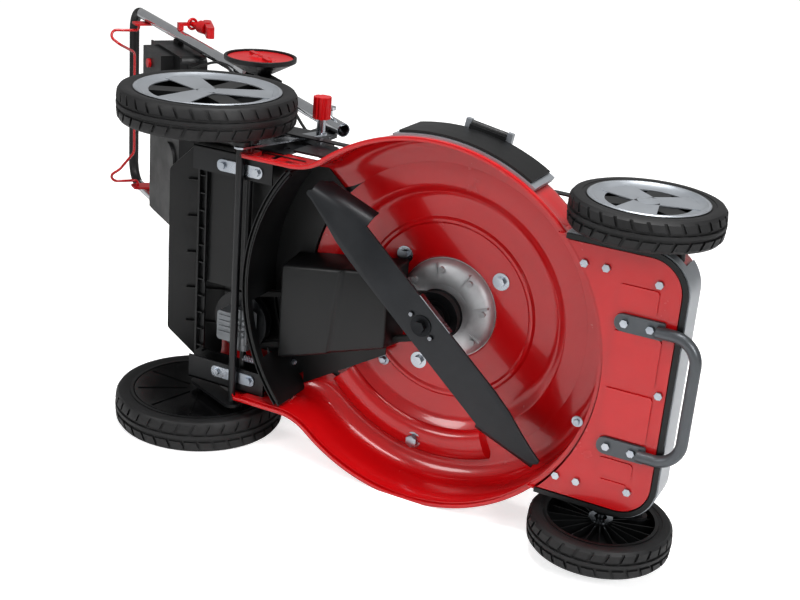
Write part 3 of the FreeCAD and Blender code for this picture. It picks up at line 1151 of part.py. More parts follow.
# ---------------------------------------------------------------- assembly
def build():
    parts = {
        "deck_shell": deck_shell(),
        "front_plate": front_plate(),
        "front_fascia": front_fascia(),
        "bumper_bar": bumper_bar(),
        "deck_fasteners": deck_fasteners(),
        "axle_straps": axle_straps(),
        "belt_cover": belt_cover(),
        "rear_baffle": rear_baffle(),
        "rear_floor": rear_floor(),
        "side_frame": side_frame(),
        "side_door": side_door(),
        "rear_door": rear_door(),
        "height_quadrant": height_quadrant(),
        "handle_brackets": handle_brackets(),
        "drive_belt": drive_belt(),
        "tension_spring": tension_spring(),
        "engine_block": engine_block(),
        "blower_housing": blower_housing(),
        "recoil_cover": recoil_cover(),
        "fuel_tank": fuel_tank(),
        "fuel_cap": fuel_cap(),
        "air_filter": air_filter(),
        "muffler": muffler(),
        "crankshaft": crankshaft(),
        "flywheel": flywheel(),
        "blade_adaptor": blade_adaptor(),
        "blade": blade(),
        "blade_bolt": blade_bolt(),
        "gearbox_case": gearbox_case(),
        "gearbox_pulley": gearbox_pulley(),
        "drive_shaft": drive_shaft(),
        "rear_axle": rear_axle(),
        "dust_covers": dust_covers(),
        "height_lever": height_lever(),
        "height_knob": height_knob(),
        "front_axle": front_axle(),
        "link_rod": link_rod(),
        "lower_tubes": lower_tubes(),
        "fold_hubs": fold_hubs(),
        "upper_tube": upper_tube(),
        "console": console(),
        "handle_fittings": handle_fittings(),
        "bail": bail(),
        "start_button": start_button(),
        "drive_lever": drive_lever(),
        "starter_grip": starter_grip(),
        "cables_upper": cables_upper(),
        "cables_lower": cables_lower(),
    }
    rear_tyre, front_tyre = tyre(REAR_R, REAR_RIM_R, REAR_W), tyre(FRONT_R, FRONT_RIM_R, FRONT_W)
    rear_hub, front_hub = hub(REAR_RIM_R, REAR_W, True), hub(FRONT_RIM_R, FRONT_W, False)
    for name, side in (("right", -1), ("left", 1)):
        parts["fold_disc_" + name] = fold_disc(side)
        parts["pinion_" + name] = pinion() if side > 0 else mirrored(pinion())
        parts["rear_tyre_" + name] = set_wheel(rear_tyre, REAR_X, REAR_R, REAR_Y, side)
        parts["rear_hub_" + name] = set_wheel(rear_hub, REAR_X, REAR_R, REAR_Y, side)
        parts["front_tyre_" + name] = set_wheel(front_tyre, FRONT_X, FRONT_R, FRONT_Y, side)
        parts["front_hub_" + name] = set_wheel(front_hub, FRONT_X, FRONT_R, FRONT_Y, side)
    return parts


PARTS = build()
WHOLE = Part.makeCompound(list(PARTS.values())).optimalBoundingBox(False, False)
SHIFT = Vector(-(WHOLE.XMin + WHOLE.XMax) / 2, -(WHOLE.YMin + WHOLE.YMax) / 2, 0)
os.makedirs("parts", exist_ok=True)
for name, shape in PARTS.items():
    placed = shape.copy()
    placed.translate(SHIFT)
    placed.exportStep("parts/" + name + ".step")
print("nodes", len(PARTS), "shift", round(SHIFT.x, 3), round(SHIFT.y, 3), "size", [round(v, 1) for v in
      (WHOLE.XLength, WHOLE.YLength, WHOLE.ZLength)], "low", round(WHOLE.ZMin, 4))
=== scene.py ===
import math

import bmesh
import bpy
from mathutils import Matrix, Vector


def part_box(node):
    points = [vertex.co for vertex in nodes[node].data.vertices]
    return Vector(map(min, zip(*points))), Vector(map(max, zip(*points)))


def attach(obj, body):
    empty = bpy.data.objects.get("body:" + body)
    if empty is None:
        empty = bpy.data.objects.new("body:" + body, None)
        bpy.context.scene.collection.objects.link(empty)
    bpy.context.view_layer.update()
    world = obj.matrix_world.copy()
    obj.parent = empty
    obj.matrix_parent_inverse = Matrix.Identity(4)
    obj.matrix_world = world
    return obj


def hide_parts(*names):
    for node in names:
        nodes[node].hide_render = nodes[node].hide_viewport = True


# A self-propelled petrol lawn mower that lies on its left side, seen from below. Metres, +Z to the
# mower's own top, +X to its front. Each section is one piece or one group of like pieces.
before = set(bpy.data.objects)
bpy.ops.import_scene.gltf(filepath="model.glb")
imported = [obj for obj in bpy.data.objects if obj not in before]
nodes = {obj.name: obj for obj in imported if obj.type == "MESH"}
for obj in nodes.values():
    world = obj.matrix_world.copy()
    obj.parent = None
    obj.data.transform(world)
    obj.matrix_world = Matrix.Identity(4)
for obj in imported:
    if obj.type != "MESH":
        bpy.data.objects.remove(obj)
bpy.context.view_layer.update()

# ---------------------------------------------------------------- camera
# It stands under the mower's right side and looks up into the deck, a little towards the tail.
# All places are measured from the crankshaft's axis at ground height.
crank_low, crank_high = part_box("crankshaft")
crank = Vector(((crank_low[0] + crank_high[0]) / 2, (crank_low[1] + crank_high[1]) / 2, 0.0))
camera = bpy.data.objects.new("camera", bpy.data.cameras.new("camera"))
bpy.context.scene.collection.objects.link(camera)
camera.data.lens = 59.2
camera.data.sensor_width = 36.0
camera.data.clip_end = 60.0
right = Vector((0.88704, -0.07827, 0.45500))
up = Vector((-0.22872, -0.93059, 0.28581))
turn = Matrix((right, up, right.cross(up))).transposed()
camera.matrix_world = Matrix.Translation(crank + Vector((0.7163, -0.70165, -1.4828))) @ turn.to_4x4()
bpy.context.scene.camera = camera

# ---------------------------------------------------------------- studio floor and light
# White paper sweep under the left wheels, which the mower lies on, and big soft boxes around it.
# The backdrop is pure white to the lens and dimmer to the mower, so glossy paint keeps its colour,
# and the sweep is clear from behind so that the mower can be looked at from that side too.
FLOOR_Y = max(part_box("rear_tyre_left")[1][1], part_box("front_tyre_left")[1][1]) + 0.0005
bpy.context.scene.view_settings.view_transform = "Standard"
bpy.context.scene.view_settings.look = "Medium High Contrast"


def linear(code):
    """The linear colour of an sRGB hex value."""
    parts = [int(code[i:i + 2], 16) / 255 for i in (0, 2, 4)]
    return [c / 12.92 if c <= 0.04045 else ((c + 0.055) / 1.055) ** 2.4 for c in parts] + [1.0]


def add_node(owner, kind, settings, links):
    """Adds a node to a material or world, sets its properties and inputs, and links outputs to it."""
    made = owner.node_tree.nodes.new(kind)
    for key, value in settings.items():
        if isinstance(key, str) and hasattr(made, key):
            setattr(made, key, value)
        else:
            made.inputs[key].default_value = value
    for key, output in links.items():
        owner.node_tree.links.new(output, made.inputs[key])
    return made


def new_material(name):
    material = bpy.data.materials.new(name)
    material.use_nodes = True
    material.node_tree.nodes.clear()
    return material


bpy.ops.object.select_all(action="DESELECT")
bpy.ops.mesh.primitive_plane_add(size=1, location=(0, FLOOR_Y, 0), rotation=(math.radians(90), 0, 0))
floor = bpy.context.object
floor.name = "floor"
floor.scale = (14, 14, 1)
bpy.ops.object.transform_apply(location=True, rotation=True, scale=True)
# White paper: an even, dull white that the lens sees a little brighter, as a lit sweep is.
paper = new_material("white_paper")
paper_sight = add_node(paper, "ShaderNodeLightPath", {}, {}).outputs["Is Camera Ray"]
paper_lift = add_node(paper, "ShaderNodeMapRange", {"To Min": 0.0, "To Max": 0.55}, {"Value": paper_sight})
paper_shader = add_node(paper, "ShaderNodeBsdfDiffuse", {"Color": linear("e6e6e6")}, {})
paper_glow = add_node(paper, "ShaderNodeEmission", {"Color": linear("ffffff")},
                      {"Strength": paper_lift.outputs[0]})
paper_sum = add_node(paper, "ShaderNodeAddShader", {}, {0: paper_shader.outputs[0], 1: paper_glow.outputs[0]})
paper_back = add_node(paper, "ShaderNodeNewGeometry", {}, {}).outputs["Backfacing"]
paper_clear = add_node(paper, "ShaderNodeBsdfTransparent", {}, {})
paper_side = add_node(paper, "ShaderNodeMixShader", {}, {0: paper_back, 1: paper_sum.outputs[0],
                                                         2: paper_clear.outputs[0]})
add_node(paper, "ShaderNodeOutputMaterial", {}, {"Surface": paper_side.outputs[0]})
floor.data.materials.append(paper)

world = bpy.data.worlds.new("studio")
world.use_nodes = True
backdrop = world.node_tree.nodes["Background"]
backdrop.inputs["Color"].default_value = linear("ffffff")
sight = add_node(world, "ShaderNodeLightPath", {}, {}).outputs["Is Camera Ray"]
lift = add_node(world, "ShaderNodeMapRange", {"To Min": 0.34, "To Max": 1.0}, {"Value": sight})
world.node_tree.links.new(lift.outputs[0], backdrop.inputs["Strength"])
bpy.context.scene.world = world


def soft_box(name, place, target, size, power):
    """A square studio light that faces a point."""
    light = bpy.data.lights.new(name, "AREA")
    light.size = size
    light.energy = power
    holder = bpy.data.objects.new(name, light)
    bpy.context.scene.collection.objects.link(holder)
    holder.location = place
    holder.rotation_euler = (target - place).to_track_quat("-Z", "Y").to_euler()


middle = Vector((0.1, 0.0, 0.25))
soft_box("over_light", middle + Vector((0.6, -2.6, -0.4)), middle, 1.5, 78)
soft_box("front_light", middle + Vector((2.4, -1.2, -1.4)), middle, 0.9, 26)
soft_box("under_light", middle + Vector((-1.2, -1.6, -2.4)), middle, 1.0, 22)


# ---------------------------------------------------------------- deck
# One deep-drawn steel shell: a round bowl whose wall runs in an S on each side into a rail, with a
# rounded shoulder, a stepped engine plate and a rolled rim. Baked red enamel all over.
DECK_R, RAIL_Y, FILLET_R = 269.5, 192.0, 86.0
DECK_LOW, CHANNEL_Z, PLATE_Z = 84.0, 178.0, 187.0
FILLET_X = -math.sqrt((DECK_R + FILLET_R) ** 2 - (RAIL_Y + FILLET_R) ** 2)
TAIL_X = -405.0


def finish(name, hex_main, hex_patch, metallic, roughness, spread, grain_mm, depth_mm, coat=0.0):
    """A real surface: a main colour with faint patches, roughness that varies, and a fine grain.

    spread is how much the roughness varies, grain_mm how wide the grain is, depth_mm how deep.
    """
    material = new_material(name)
    place = add_node(material, "ShaderNodeTexCoord", {}, {}).outputs["Object"]
    patch = add_node(material, "ShaderNodeTexNoise", {"Scale": 1 / 0.055, "Detail": 4.0, "Roughness": 0.6},
                     {"Vector": place}).outputs["Fac"]
    grain_set = {"Scale": 1000 / grain_mm, "Detail": 2.0, "Roughness": 0.5}
    grain = add_node(material, "ShaderNodeTexNoise", grain_set, {"Vector": place}).outputs["Fac"]
    share = add_node(material, "ShaderNodeMapRange", {"From Min": 0.35, "From Max": 0.7}, {"Value": patch})
    colour = add_node(material, "ShaderNodeMix",
                      {"data_type": "RGBA", 6: linear(hex_main), 7: linear(hex_patch)}, {0: share.outputs[0]})
    least, most = roughness - spread, roughness + spread
    dull = add_node(material, "ShaderNodeMapRange",
                    {"From Min": 0.3, "From Max": 0.7, "To Min": least, "To Max": most}, {"Value": patch})
    bump = add_node(material, "ShaderNodeBump", {"Strength": 1.0, "Distance": depth_mm / 1000},
                    {"Height": grain})
    shader = add_node(material, "ShaderNodeBsdfPrincipled",
                      {"Metallic": metallic, "Coat Weight": coat, "Coat Roughness": 0.05},
                      {"Base Color": colour.outputs[2], "Roughness": dull.outputs[0],
                       "Normal": bump.outputs[0]})
    add_node(material, "ShaderNodeOutputMaterial", {}, {"Surface": shader.outputs[0]})
    return material


def at(x, y, z):
    """A place given in millimetres from the crankshaft's axis at ground height."""
    return crank + Vector((x, y, z)) / 1000


def clear():
    """Closes the piece being shaped and deselects everything."""
    if bpy.context.mode != "OBJECT":
        bpy.ops.object.mode_set(mode="OBJECT")
    bpy.ops.object.select_all(action="DESELECT")


def begin(name):
    """Names the primitive just added and opens it for shaping."""
    piece = bpy.context.object
    piece.name = piece.data.name = name
    bpy.ops.object.transform_apply(location=True, rotation=True, scale=True)
    bpy.ops.object.mode_set(mode="EDIT")
    return piece


def pick(kind, test):
    """Selects only the verts, edges or faces whose middle, in mm from the crank, and normal pass."""
    bpy.ops.mesh.select_mode(type=kind)
    bpy.ops.mesh.select_all(action="DESELECT")
    shape = bmesh.from_edit_mesh(bpy.context.object.data)
    for item in {"VERT": shape.verts, "EDGE": shape.edges, "FACE": shape.faces}[kind]:
        if kind == "VERT":
            middle, normal = item.co, item.normal
        elif kind == "EDGE":
            middle, normal = (item.verts[0].co + item.verts[1].co) / 2, item.verts[1].co - item.verts[0].co
        else:
            middle, normal = item.calc_center_median(), item.normal
        if test((middle - crank) * 1000, normal.normalized(), item):
            item.select_set(True)
    bmesh.update_edit_mesh(bpy.context.object.data)


def dot(name, place):
    """One corner of a plane, moved to a place: the start of a drawn line, open for shaping."""
    clear()
    bpy.ops.mesh.primitive_plane_add(size=0.001, location=(0, 0, 0))
    piece = begin(name)
    pick("VERT", lambda m, n, v: v.index > 0)
    bpy.ops.mesh.delete(type="VERT")
    bpy.ops.mesh.select_all(action="SELECT")
    bpy.ops.transform.translate(value=place - bmesh.from_edit_mesh(piece.data).verts[:][0].co)
    return piece


def draw(name, places):
    """An open line through places, drawn edge by edge."""
    piece = dot(name, places[0])
    for here, there in zip(places, places[1:]):
        bpy.ops.mesh.extrude_vertices_move(TRANSFORM_OT_translate={"value": there - here})
    bpy.ops.mesh.select_all(action="SELECT")
    return piece


def merge(threshold=0.00001):
    """Merges doubled corners of the open shape and turns its faces outward."""
    bpy.ops.mesh.select_all(action="SELECT")
    bpy.ops.mesh.remove_doubles(threshold=threshold)
    bpy.ops.mesh.normals_make_consistent(inside=False)


def turn_all(degrees, axis, centre):
    """Turns the whole open shape about an upright or level axis."""
    bpy.ops.mesh.select_all(action="SELECT")
    bpy.ops.transform.rotate(value=math.radians(degrees), orient_axis=axis, center_override=centre)


def join(piece, *others):
    """Joins finished shapes into one piece."""
    clear()
    for other in others:
        other.select_set(True)
    piece.select_set(True)
    bpy.context.view_layer.objects.active = piece
    bpy.ops.object.join()
    return piece


def apply(piece, kind, **settings):
    """Adds a modifier and applies it."""
    clear()
    piece.select_set(True)
    bpy.context.view_layer.objects.active = piece
    modifier = piece.modifiers.new("made", kind)
    for key, value in settings.items():
        setattr(modifier, key, value)
    bpy.ops.object.modifier_apply(modifier="made")


def carve(piece, tool, solver="EXACT"):
    """Cuts with another closed shape, which is used up."""
    apply(piece, "BOOLEAN", operation="DIFFERENCE", object=tool, solver=solver)
    bpy.data.objects.remove(tool)


def done(piece, name, material, body, replaced=(), angle=35.0):
    """Closes a piece: its name, smooth where it is round, finish, body and the nodes it replaces."""
    clear()
    piece.name = piece.data.name = name
    piece.select_set(True)
    bpy.context.view_layer.objects.active = piece
    bpy.ops.object.shade_smooth_by_angle(angle=math.radians(angle))
    piece.data.materials.clear()
    piece.data.materials.append(material)
    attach(piece, body)
    if replaced:
        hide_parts(*replaced)
    return piece


def block(name, x0, x1, y0, y1, z0, z1):
    """A cube primitive stretched between two corners, open for shaping."""
    clear()
    bpy.ops.mesh.primitive_cube_add(size=1, location=at((x0 + x1) / 2, (y0 + y1) / 2, (z0 + z1) / 2))
    bpy.context.object.scale = Vector((x1 - x0, y1 - y0, z1 - z0)) / 1000
    return begin(name)


def round_bar(name, radius, x, y, z0, z1, sides=64):
    """An upright cylinder primitive, open for shaping."""
    clear()
    bpy.ops.mesh.primitive_cylinder_add(vertices=sides, radius=radius / 1000, depth=(z1 - z0) / 1000,
                                        location=at(x, y, (z0 + z1) / 2))
    return begin(name)


def spun(name, points, steps, axis=(0, 0, 1), centre=(0, 0, 0)):
    """A profile of (radius, height) in mm, drawn edge by edge and spun a full turn about an axis."""
    lying = axis[1] != 0
    place = [at(centre[0] + r, centre[1] + (h if lying else 0), centre[2] + (0 if lying else h))
             for r, h in points]
    piece = draw(name, place)
    bpy.ops.mesh.spin(steps=steps, angle=2 * math.pi, center=at(*centre), axis=axis)
    merge()
    return piece


def deck_line(inset, height):
    """The deck's edge as one open line, moved in by inset: rail, fillet, bowl, fillet, rail."""
    piece = dot("line", at(TAIL_X, inset - RAIL_Y, height))
    rail_step = (FILLET_X - TAIL_X) / 8000
    for step in range(8):
        bpy.ops.mesh.extrude_vertices_move(TRANSFORM_OT_translate={"value": (rail_step, 0, 0)})
    turn_in = math.acos((RAIL_Y + FILLET_R) / (DECK_R + FILLET_R))
    around = 2 * (math.pi / 2 + turn_in)
    for y, steps, angle in ((-RAIL_Y - FILLET_R, 12, turn_in), (0, 110, -around),
                            (RAIL_Y + FILLET_R, 12, turn_in)):
        centre = at(FILLET_X if y else 0, y, height)
        bpy.ops.mesh.spin(steps=steps, angle=angle, center=centre, axis=(0, 0, 1))
    for step in range(8):
        bpy.ops.mesh.extrude_vertices_move(TRANSFORM_OT_translate={"value": (-rail_step, 0, 0)})
    return piece


# The wall, then the shoulder's curve, then the channel's roof.
lines = [deck_line(inset, height) for inset, height in (
    (0, DECK_LOW), (0, 92), (0, 120), (0, 148), (1.0, 155.2), (3.8, 162), (8.2, 168.3), (14, 173.3),
    (20.8, 176.8), (28, CHANNEL_Z), (47.5, CHANNEL_Z))]
shell = join(lines[0], *lines[1:])
bpy.ops.object.mode_set(mode="EDIT")
bpy.ops.mesh.select_mode(type="EDGE")
bpy.ops.mesh.select_all(action="SELECT")
bpy.ops.mesh.bridge_edge_loops()
bpy.ops.mesh.select_all(action="SELECT")
bpy.ops.mesh.normals_make_consistent(inside=False)
for x, height, away in ((-330, 112, (-28, 0, -98)), (TAIL_X, 160, (-29, 0, 67))):
    bpy.ops.mesh.select_all(action="SELECT")
    bpy.ops.mesh.bisect(plane_co=at(x, 0, height), plane_no=away, clear_outer=True)
bpy.ops.mesh.select_all(action="SELECT")
bpy.ops.mesh.bisect(plane_co=at(-330, 0, 120), plane_no=(-28, 0, -98))
pick("FACE", lambda m, n, f: m.z < max(92, 120 + (-330 - m.x) * 28 / 98) and m.z < 145)
bpy.ops.mesh.extrude_region_shrink_fatten(TRANSFORM_OT_shrink_fatten={"value": 0.0055})
bpy.ops.mesh.select_all(action="SELECT")
bpy.ops.mesh.normals_make_consistent(inside=False)
apply(shell, "SOLIDIFY", thickness=0.0022, offset=-1.0)
apply(shell, "BEVEL", width=0.0018, segments=2, limit_method="ANGLE", angle_limit=math.radians(60))

# The pressed rings between the channel and the engine plate, turned as one profile.
profile = [(222.6, CHANNEL_Z - 2.2), (192, CHANNEL_Z - 2.2), (188, CHANNEL_Z - 1.2), (181, CHANNEL_Z + 5),
           (174, PLATE_Z - 0.6), (168, PLATE_Z), (140, PLATE_Z), (136.5, PLATE_Z - 3), (132.5, PLATE_Z - 3),
           (129, PLATE_Z), (80, PLATE_Z), (76, PLATE_Z + 4)]
rings = spun("rings", profile, 120)
apply(rings, "SOLIDIFY", thickness=0.0022, offset=1.0)

# The left side's lower shelf, which climbs to the roof in one step.
shelf_line = ((190, 2), (194, 9), (200, 12), (214, 13), (226, 12), (232, 8), (235, 2))
shelf = spun("shelf", [(r, CHANNEL_Z - drop) for r, drop in shelf_line], 120)
pick("FACE", lambda m, n, f: not 62 < math.degrees(math.atan2(m.y, m.x)) < 138)
bpy.ops.mesh.delete(type="FACE")
pick("VERT", lambda m, n, v: math.degrees(math.atan2(m.y, m.x)) < 63.5)
bpy.ops.transform.translate(value=(0, 0, 0.011))
bpy.ops.transform.rotate(value=-0.03, orient_axis="Z", center_override=at(0, 0, 0))
apply(shelf, "SOLIDIFY", thickness=0.002, offset=1.0)

# The square nose over the front axle, and the steel that closes the tail between the rails.
nose = block("nose", 150, 372, -188, 188, 80, 146)
pick("EDGE", lambda m, d, e: abs(d.z) > 0.9 and m.x > 300)
bpy.ops.mesh.bevel(offset=0.052, segments=8, affect="EDGES")
pick("EDGE", lambda m, d, e: m.z > 145 and m.x > 151)
bpy.ops.mesh.bevel(offset=0.010, segments=4, affect="EDGES")
pick("FACE", lambda m, n, f: n.z < -0.9 or n.x < -0.9)
bpy.ops.mesh.delete(type="FACE")
apply(nose, "SOLIDIFY", thickness=0.0025, offset=-1.0)
carve(nose, round_bar("bowl", DECK_R - 1, 0, 0, 40, 170, 96))
tail = block("tail", -386, -115, -168, 168, CHANNEL_Z + 0.1, CHANNEL_Z + 2.2)
carve(tail, round_bar("bowl", 221, 0, 0, 40, 200, 96))
deck = join(shell, rings, shelf, nose)
# Through slots where the handle's bracket hooks into the right rail.
for x0, x1, z0, z1 in ((-272, -262, 112, 138), (-272, -240, 112, 120), (-248, -240, 112, 130)):
    carve(deck, block("slot", x0, x1, -210, -180, z0, z1), "FAST")
# Baked enamel on pressed steel: deep, even red with a clear wet gloss and faint orange peel.
red_enamel = finish("baked_red_enamel", "b40a11", "ae0910", 0.0, 0.26, 0.015, 2.6, 0.008, coat=0.6)
done(deck, "deck_pressing", red_enamel, "chassis", ["deck_shell"])

# ---------------------------------------------------------------- front plate
# A pressed steel plate that closes the nose from below. Shallow pads are pressed into it.
def wear(material, *names):
    """Gives CAD nodes this finish."""
    for name in names:
        for slot in nodes[name].material_slots:
            slot.material = material


def pad(x0, x1, y0, y1, z0, z1, corner=5, edge=1.4):
    """A low pressed pad with rounded corners and an inset loop round its face."""
    piece = block("pad", x0, x1, y0, y1, z0, z1)
    pick("EDGE", lambda m, d, e: abs(d.z) > 0.9)
    bpy.ops.mesh.bevel(offset=corner / 1000, segments=4, affect="EDGES")
    pick("FACE", lambda m, n, f: n.z < -0.9)
    bpy.ops.mesh.inset(thickness=edge / 1000)
    pick("FACE", lambda m, n, f: n.z < -0.9 and f.calc_area() < (x1 - x0) * (y1 - y0) / 1e6)
    return piece


wear(red_enamel, "front_plate")
PLATE_TOP = 78.6
pads = [pad(284, 350, -76, -8, 75.4, PLATE_TOP), pad(284, 350, 6, 74, 75.4, PLATE_TOP),
        pad(290, 338, 108, 134, 76.2, PLATE_TOP), pad(284, 338, -140, -106, 75.8, PLATE_TOP),
        pad(296, 332, 140, 146, 76.4, PLATE_TOP, 2)]
done(join(pads[0], *pads[1:]), "plate_pads", red_enamel, "chassis")

# ---------------------------------------------------------------- front fascia
# Silver-painted plastic trim round the nose, over a black lip that shows from below.
silver_mould = finish("silver_painted_abs", "8f9398", "9a9ea3", 0.55, 0.36, 0.05, 0.8, 0.006, coat=0.2)
wear(silver_mould, "front_fascia")
lip = block("lip", 205, 374.5, -190.5, 190.5, 76.5, 79.5)
pick("EDGE", lambda m, d, e: abs(d.z) > 0.9 and m.x > 300)
bpy.ops.mesh.bevel(offset=0.0545, segments=10, affect="EDGES")
inner_lip = block("inner", 190, 367.5, -183.5, 183.5, 70, 90)
pick("EDGE", lambda m, d, e: abs(d.z) > 0.9 and m.x > 300)
bpy.ops.mesh.bevel(offset=0.0475, segments=10, affect="EDGES")
carve(lip, inner_lip)
# Moulded polypropylene: black, dull, with the mould's fine leather grain.
black_mould = finish("moulded_black_polypropylene", "0c0d0e", "121314", 0.0, 0.42, 0.07, 1.1, 0.03)
done(lip, "fascia_lip", black_mould, "chassis")

# ---------------------------------------------------------------- bumper
# One bent steel tube, flattened at both ends and bolted under the nose, in grey metallic lacquer.
grey_paint = finish("grey_satin_lacquer", "54575a", "5c5f63", 0.5, 0.36, 0.05, 0.9, 0.008)
wear(grey_paint, "bumper_bar")

# ---------------------------------------------------------------- deck bolts and studs
# Zinc-plated bolts: the CAD ones, then the small ones that hold the linkage, hinge and liners.
# Each is a washer and a hexagon head with a rounded top, built in its own place.
zinc = finish("zinc_plated_steel", "b9bdc2", "9da4ad", 1.0, 0.27, 0.09, 1.0, 0.012)
wear(zinc, "deck_fasteners", "axle_straps")


def bolt(x, y, z, across, head, washer):
    """A hexagon head on a washer that hangs below z."""
    disc = round_bar("washer", washer, x, y, z - 1.6, z, 32)
    pick("EDGE", lambda m, d, e: m.z < z - 1.5)
    bpy.ops.mesh.bevel(offset=0.0005, segments=2, affect="EDGES")
    hexagon = round_bar("head", across * 0.577, x, y, z - 1.6 - head, z - 1.5, 6)
    pick("FACE", lambda m, n, f: n.z < -0.9)
    bpy.ops.mesh.inset(thickness=across * 0.00009)
    bpy.ops.transform.translate(value=(0, 0, -0.0007))
    return join(disc, hexagon)


studs = [bolt(-96.5, 108.5, PLATE_Z, 10, 5, 9), bolt(252, 70, 83.5, 8, 4, 8),
         bolt(-25, 216, CHANNEL_Z - 13, 17, 8, 13), bolt(-246, 148, 171, 7, 3, 5),
         bolt(-262, -8, 171, 7, 3, 5)]
done(join(studs[0], *studs[1:]), "small_bolts", zinc, "chassis")

# ---------------------------------------------------------------- rail pads
# Black painted steel flats under both rails: the straps and the axle's bearings are bolted to them.
black_paint = finish("black_painted_steel", "131416", "1b1c1e", 0.0, 0.36, 0.08, 1.2, 0.012)
pads = []
for side in (-1, 1):
    flat = block("pad", -402, -262, side * 172 - 19, side * 172 + 19, 106, 108.5)
    web = block("web", -402, -270, side * 190 - 1.4, side * 190 + 1.4, 106, 150)
    pads += [flat, web]
done(join(pads[0], tail, *pads[1:]), "rail_pads_and_tail", black_paint, "chassis")

# ---------------------------------------------------------------- rear liner
# Moulded black baffle that closes the bowl's back. Two thin ribs follow its edge, and a sheet lies
# under the channel's roof from the baffle to the belt cover.
def arc(name, r0, r1, z0, z1, middle, half, steps=48):
    """A ring's sector between two radii and heights, drawn as a square and spun about the crank."""
    start = math.radians(middle - half)
    corners = [(r0, z0), (r1, z0), (r1, z1), (r0, z1), (r0, z0)]
    place = [at(r * math.cos(start), r * math.sin(start), z) for r, z in corners]
    piece = draw(name, place)
    bpy.ops.mesh.remove_doubles(threshold=0.00001)
    bpy.ops.mesh.edge_face_add()
    bpy.ops.mesh.spin(steps=steps, angle=-math.radians(2 * half), center=at(0, 0, 0), axis=(0, 0, 1))
    merge()
    return piece


wall = arc("wall", 288, 291, 88, 172, 180, 40)
# The window that the gearbox's pulley needs as the rear axle is raised.
carve(wall, block("window", -300, -262, 32, 148, 104, 166), "FAST")
liner = [wall, arc("rib", 284.5, 286, 86, 94, 180, 39),
         arc("rib", 293.5, 295, 86, 94, 180, 39), arc("foot", 284.5, 295, 92, 94, 180, 39),
         arc("sheet", 224, 287.8, 171, 173.5, 183, 38)]
skirt = block("skirt", -232, -86, 60, 92, 168, 170.5)
pick("VERT", lambda m, n, v: m.y > 80 and m.x < -200)
bpy.ops.transform.translate(value=(0.006, 0.086, 0))
done(join(liner[0], skirt, *liner[1:]), "rear_liner", black_mould, "chassis", ["rear_baffle"])
wear(black_mould, "rear_floor")

# ---------------------------------------------------------------- belt cover
# Black tray over the belt between the crank and the baffle. Its rear half is one step lower, and a
# bolt at each corner holds it.
cover = block("cover", -250, -62, -66, 66, 120, 174)
pick("VERT", lambda m, n, v: m.x < -240)
bpy.ops.transform.resize(value=(1, 1.28, 1), center_override=at(-250, 0, 0))
bpy.ops.transform.translate(value=(0, 0.048, 0))
pick("VERT", lambda m, n, v: m.z < 121)
bpy.ops.transform.resize(value=(0.95, 0.9, 1), center_override=at(-156, 20, 0))
bpy.ops.mesh.select_all(action="SELECT")
bpy.ops.mesh.bisect(plane_co=at(-150, 0, 0), plane_no=(1, 0.12, 0))
bpy.ops.mesh.select_all(action="SELECT")
bpy.ops.mesh.bisect(plane_co=at(-146, 0, 0), plane_no=(1, 0.12, 0))
pick("FACE", lambda m, n, f: m.x < -152 and n.z < -0.9)
bpy.ops.transform.translate(value=(0, 0, -0.005))
pick("FACE", lambda m, n, f: n.z > 0.9)
bpy.ops.mesh.delete(type="FACE")
pick("EDGE", lambda m, d, e: not e.is_boundary and e.calc_face_angle(0) > 0.6)
bpy.ops.mesh.bevel(offset=0.005, segments=3, affect="EDGES")
apply(cover, "SOLIDIFY", thickness=0.0025, offset=-1.0)
done(cover, "belt_tray", black_mould, "chassis", ["belt_cover"])

# ---------------------------------------------------------------- side outlet
# Silver trim frame and a black flap over the right side's outlet.
wear(silver_mould, "side_frame")
wear(black_mould, "side_door")

# ---------------------------------------------------------------- rear flap, engine covers and tank
# Moulded black parts above the deck, and red caps on them.
wear(black_mould, "rear_door", "blower_housing", "fuel_tank", "air_filter", "fold_hubs", "console")
red_mould = finish("moulded_red_abs", "b80c14", "a80a11", 0.0, 0.30, 0.05, 1.4, 0.008)
wear(red_mould, "recoil_cover", "fuel_cap", "height_knob", "handle_fittings", "start_button", "drive_lever",
     "starter_grip", "fold_disc_right", "fold_disc_left")
wear(red_enamel, "bail")

# ---------------------------------------------------------------- engine
# Cast crankcase, flywheel and gearbox in raw aluminium; the muffler is plated steel.
cast_aluminium = finish("cast_aluminium", "c6c8ca", "a9abad", 0.75, 0.5, 0.08, 1.4, 0.05)
wear(cast_aluminium, "engine_block", "flywheel")
# Die-cast alloy, greyer than the crankcase.
die_cast = finish("die_cast_alloy", "85888b", "74777a", 0.7, 0.5, 0.08, 1.2, 0.04)
wear(die_cast, "gearbox_case")
wear(zinc, "muffler")
sump = [spun("sump", [(38, 176), (44, 174), (66, 178), (72, 183), (74.5, 190)], 72)]
apply(sump[0], "SOLIDIFY", thickness=0.002, offset=1.0)
for turn_deg in range(15, 360, 45):
    rib = block("rib", 40, 72, -1.2, 1.2, 172.5, 180)
    turn_all(turn_deg, "Z", at(0, 0, 0))
    sump.append(rib)
    cos, sin = math.cos(math.radians(turn_deg + 22)), math.sin(math.radians(turn_deg + 22))
    sump.append(round_bar("boss", 4.5, 63 * cos, 63 * sin, 171, 180, 16))
done(join(sump[0], *sump[1:]), "engine_sump", cast_aluminium, "chassis")

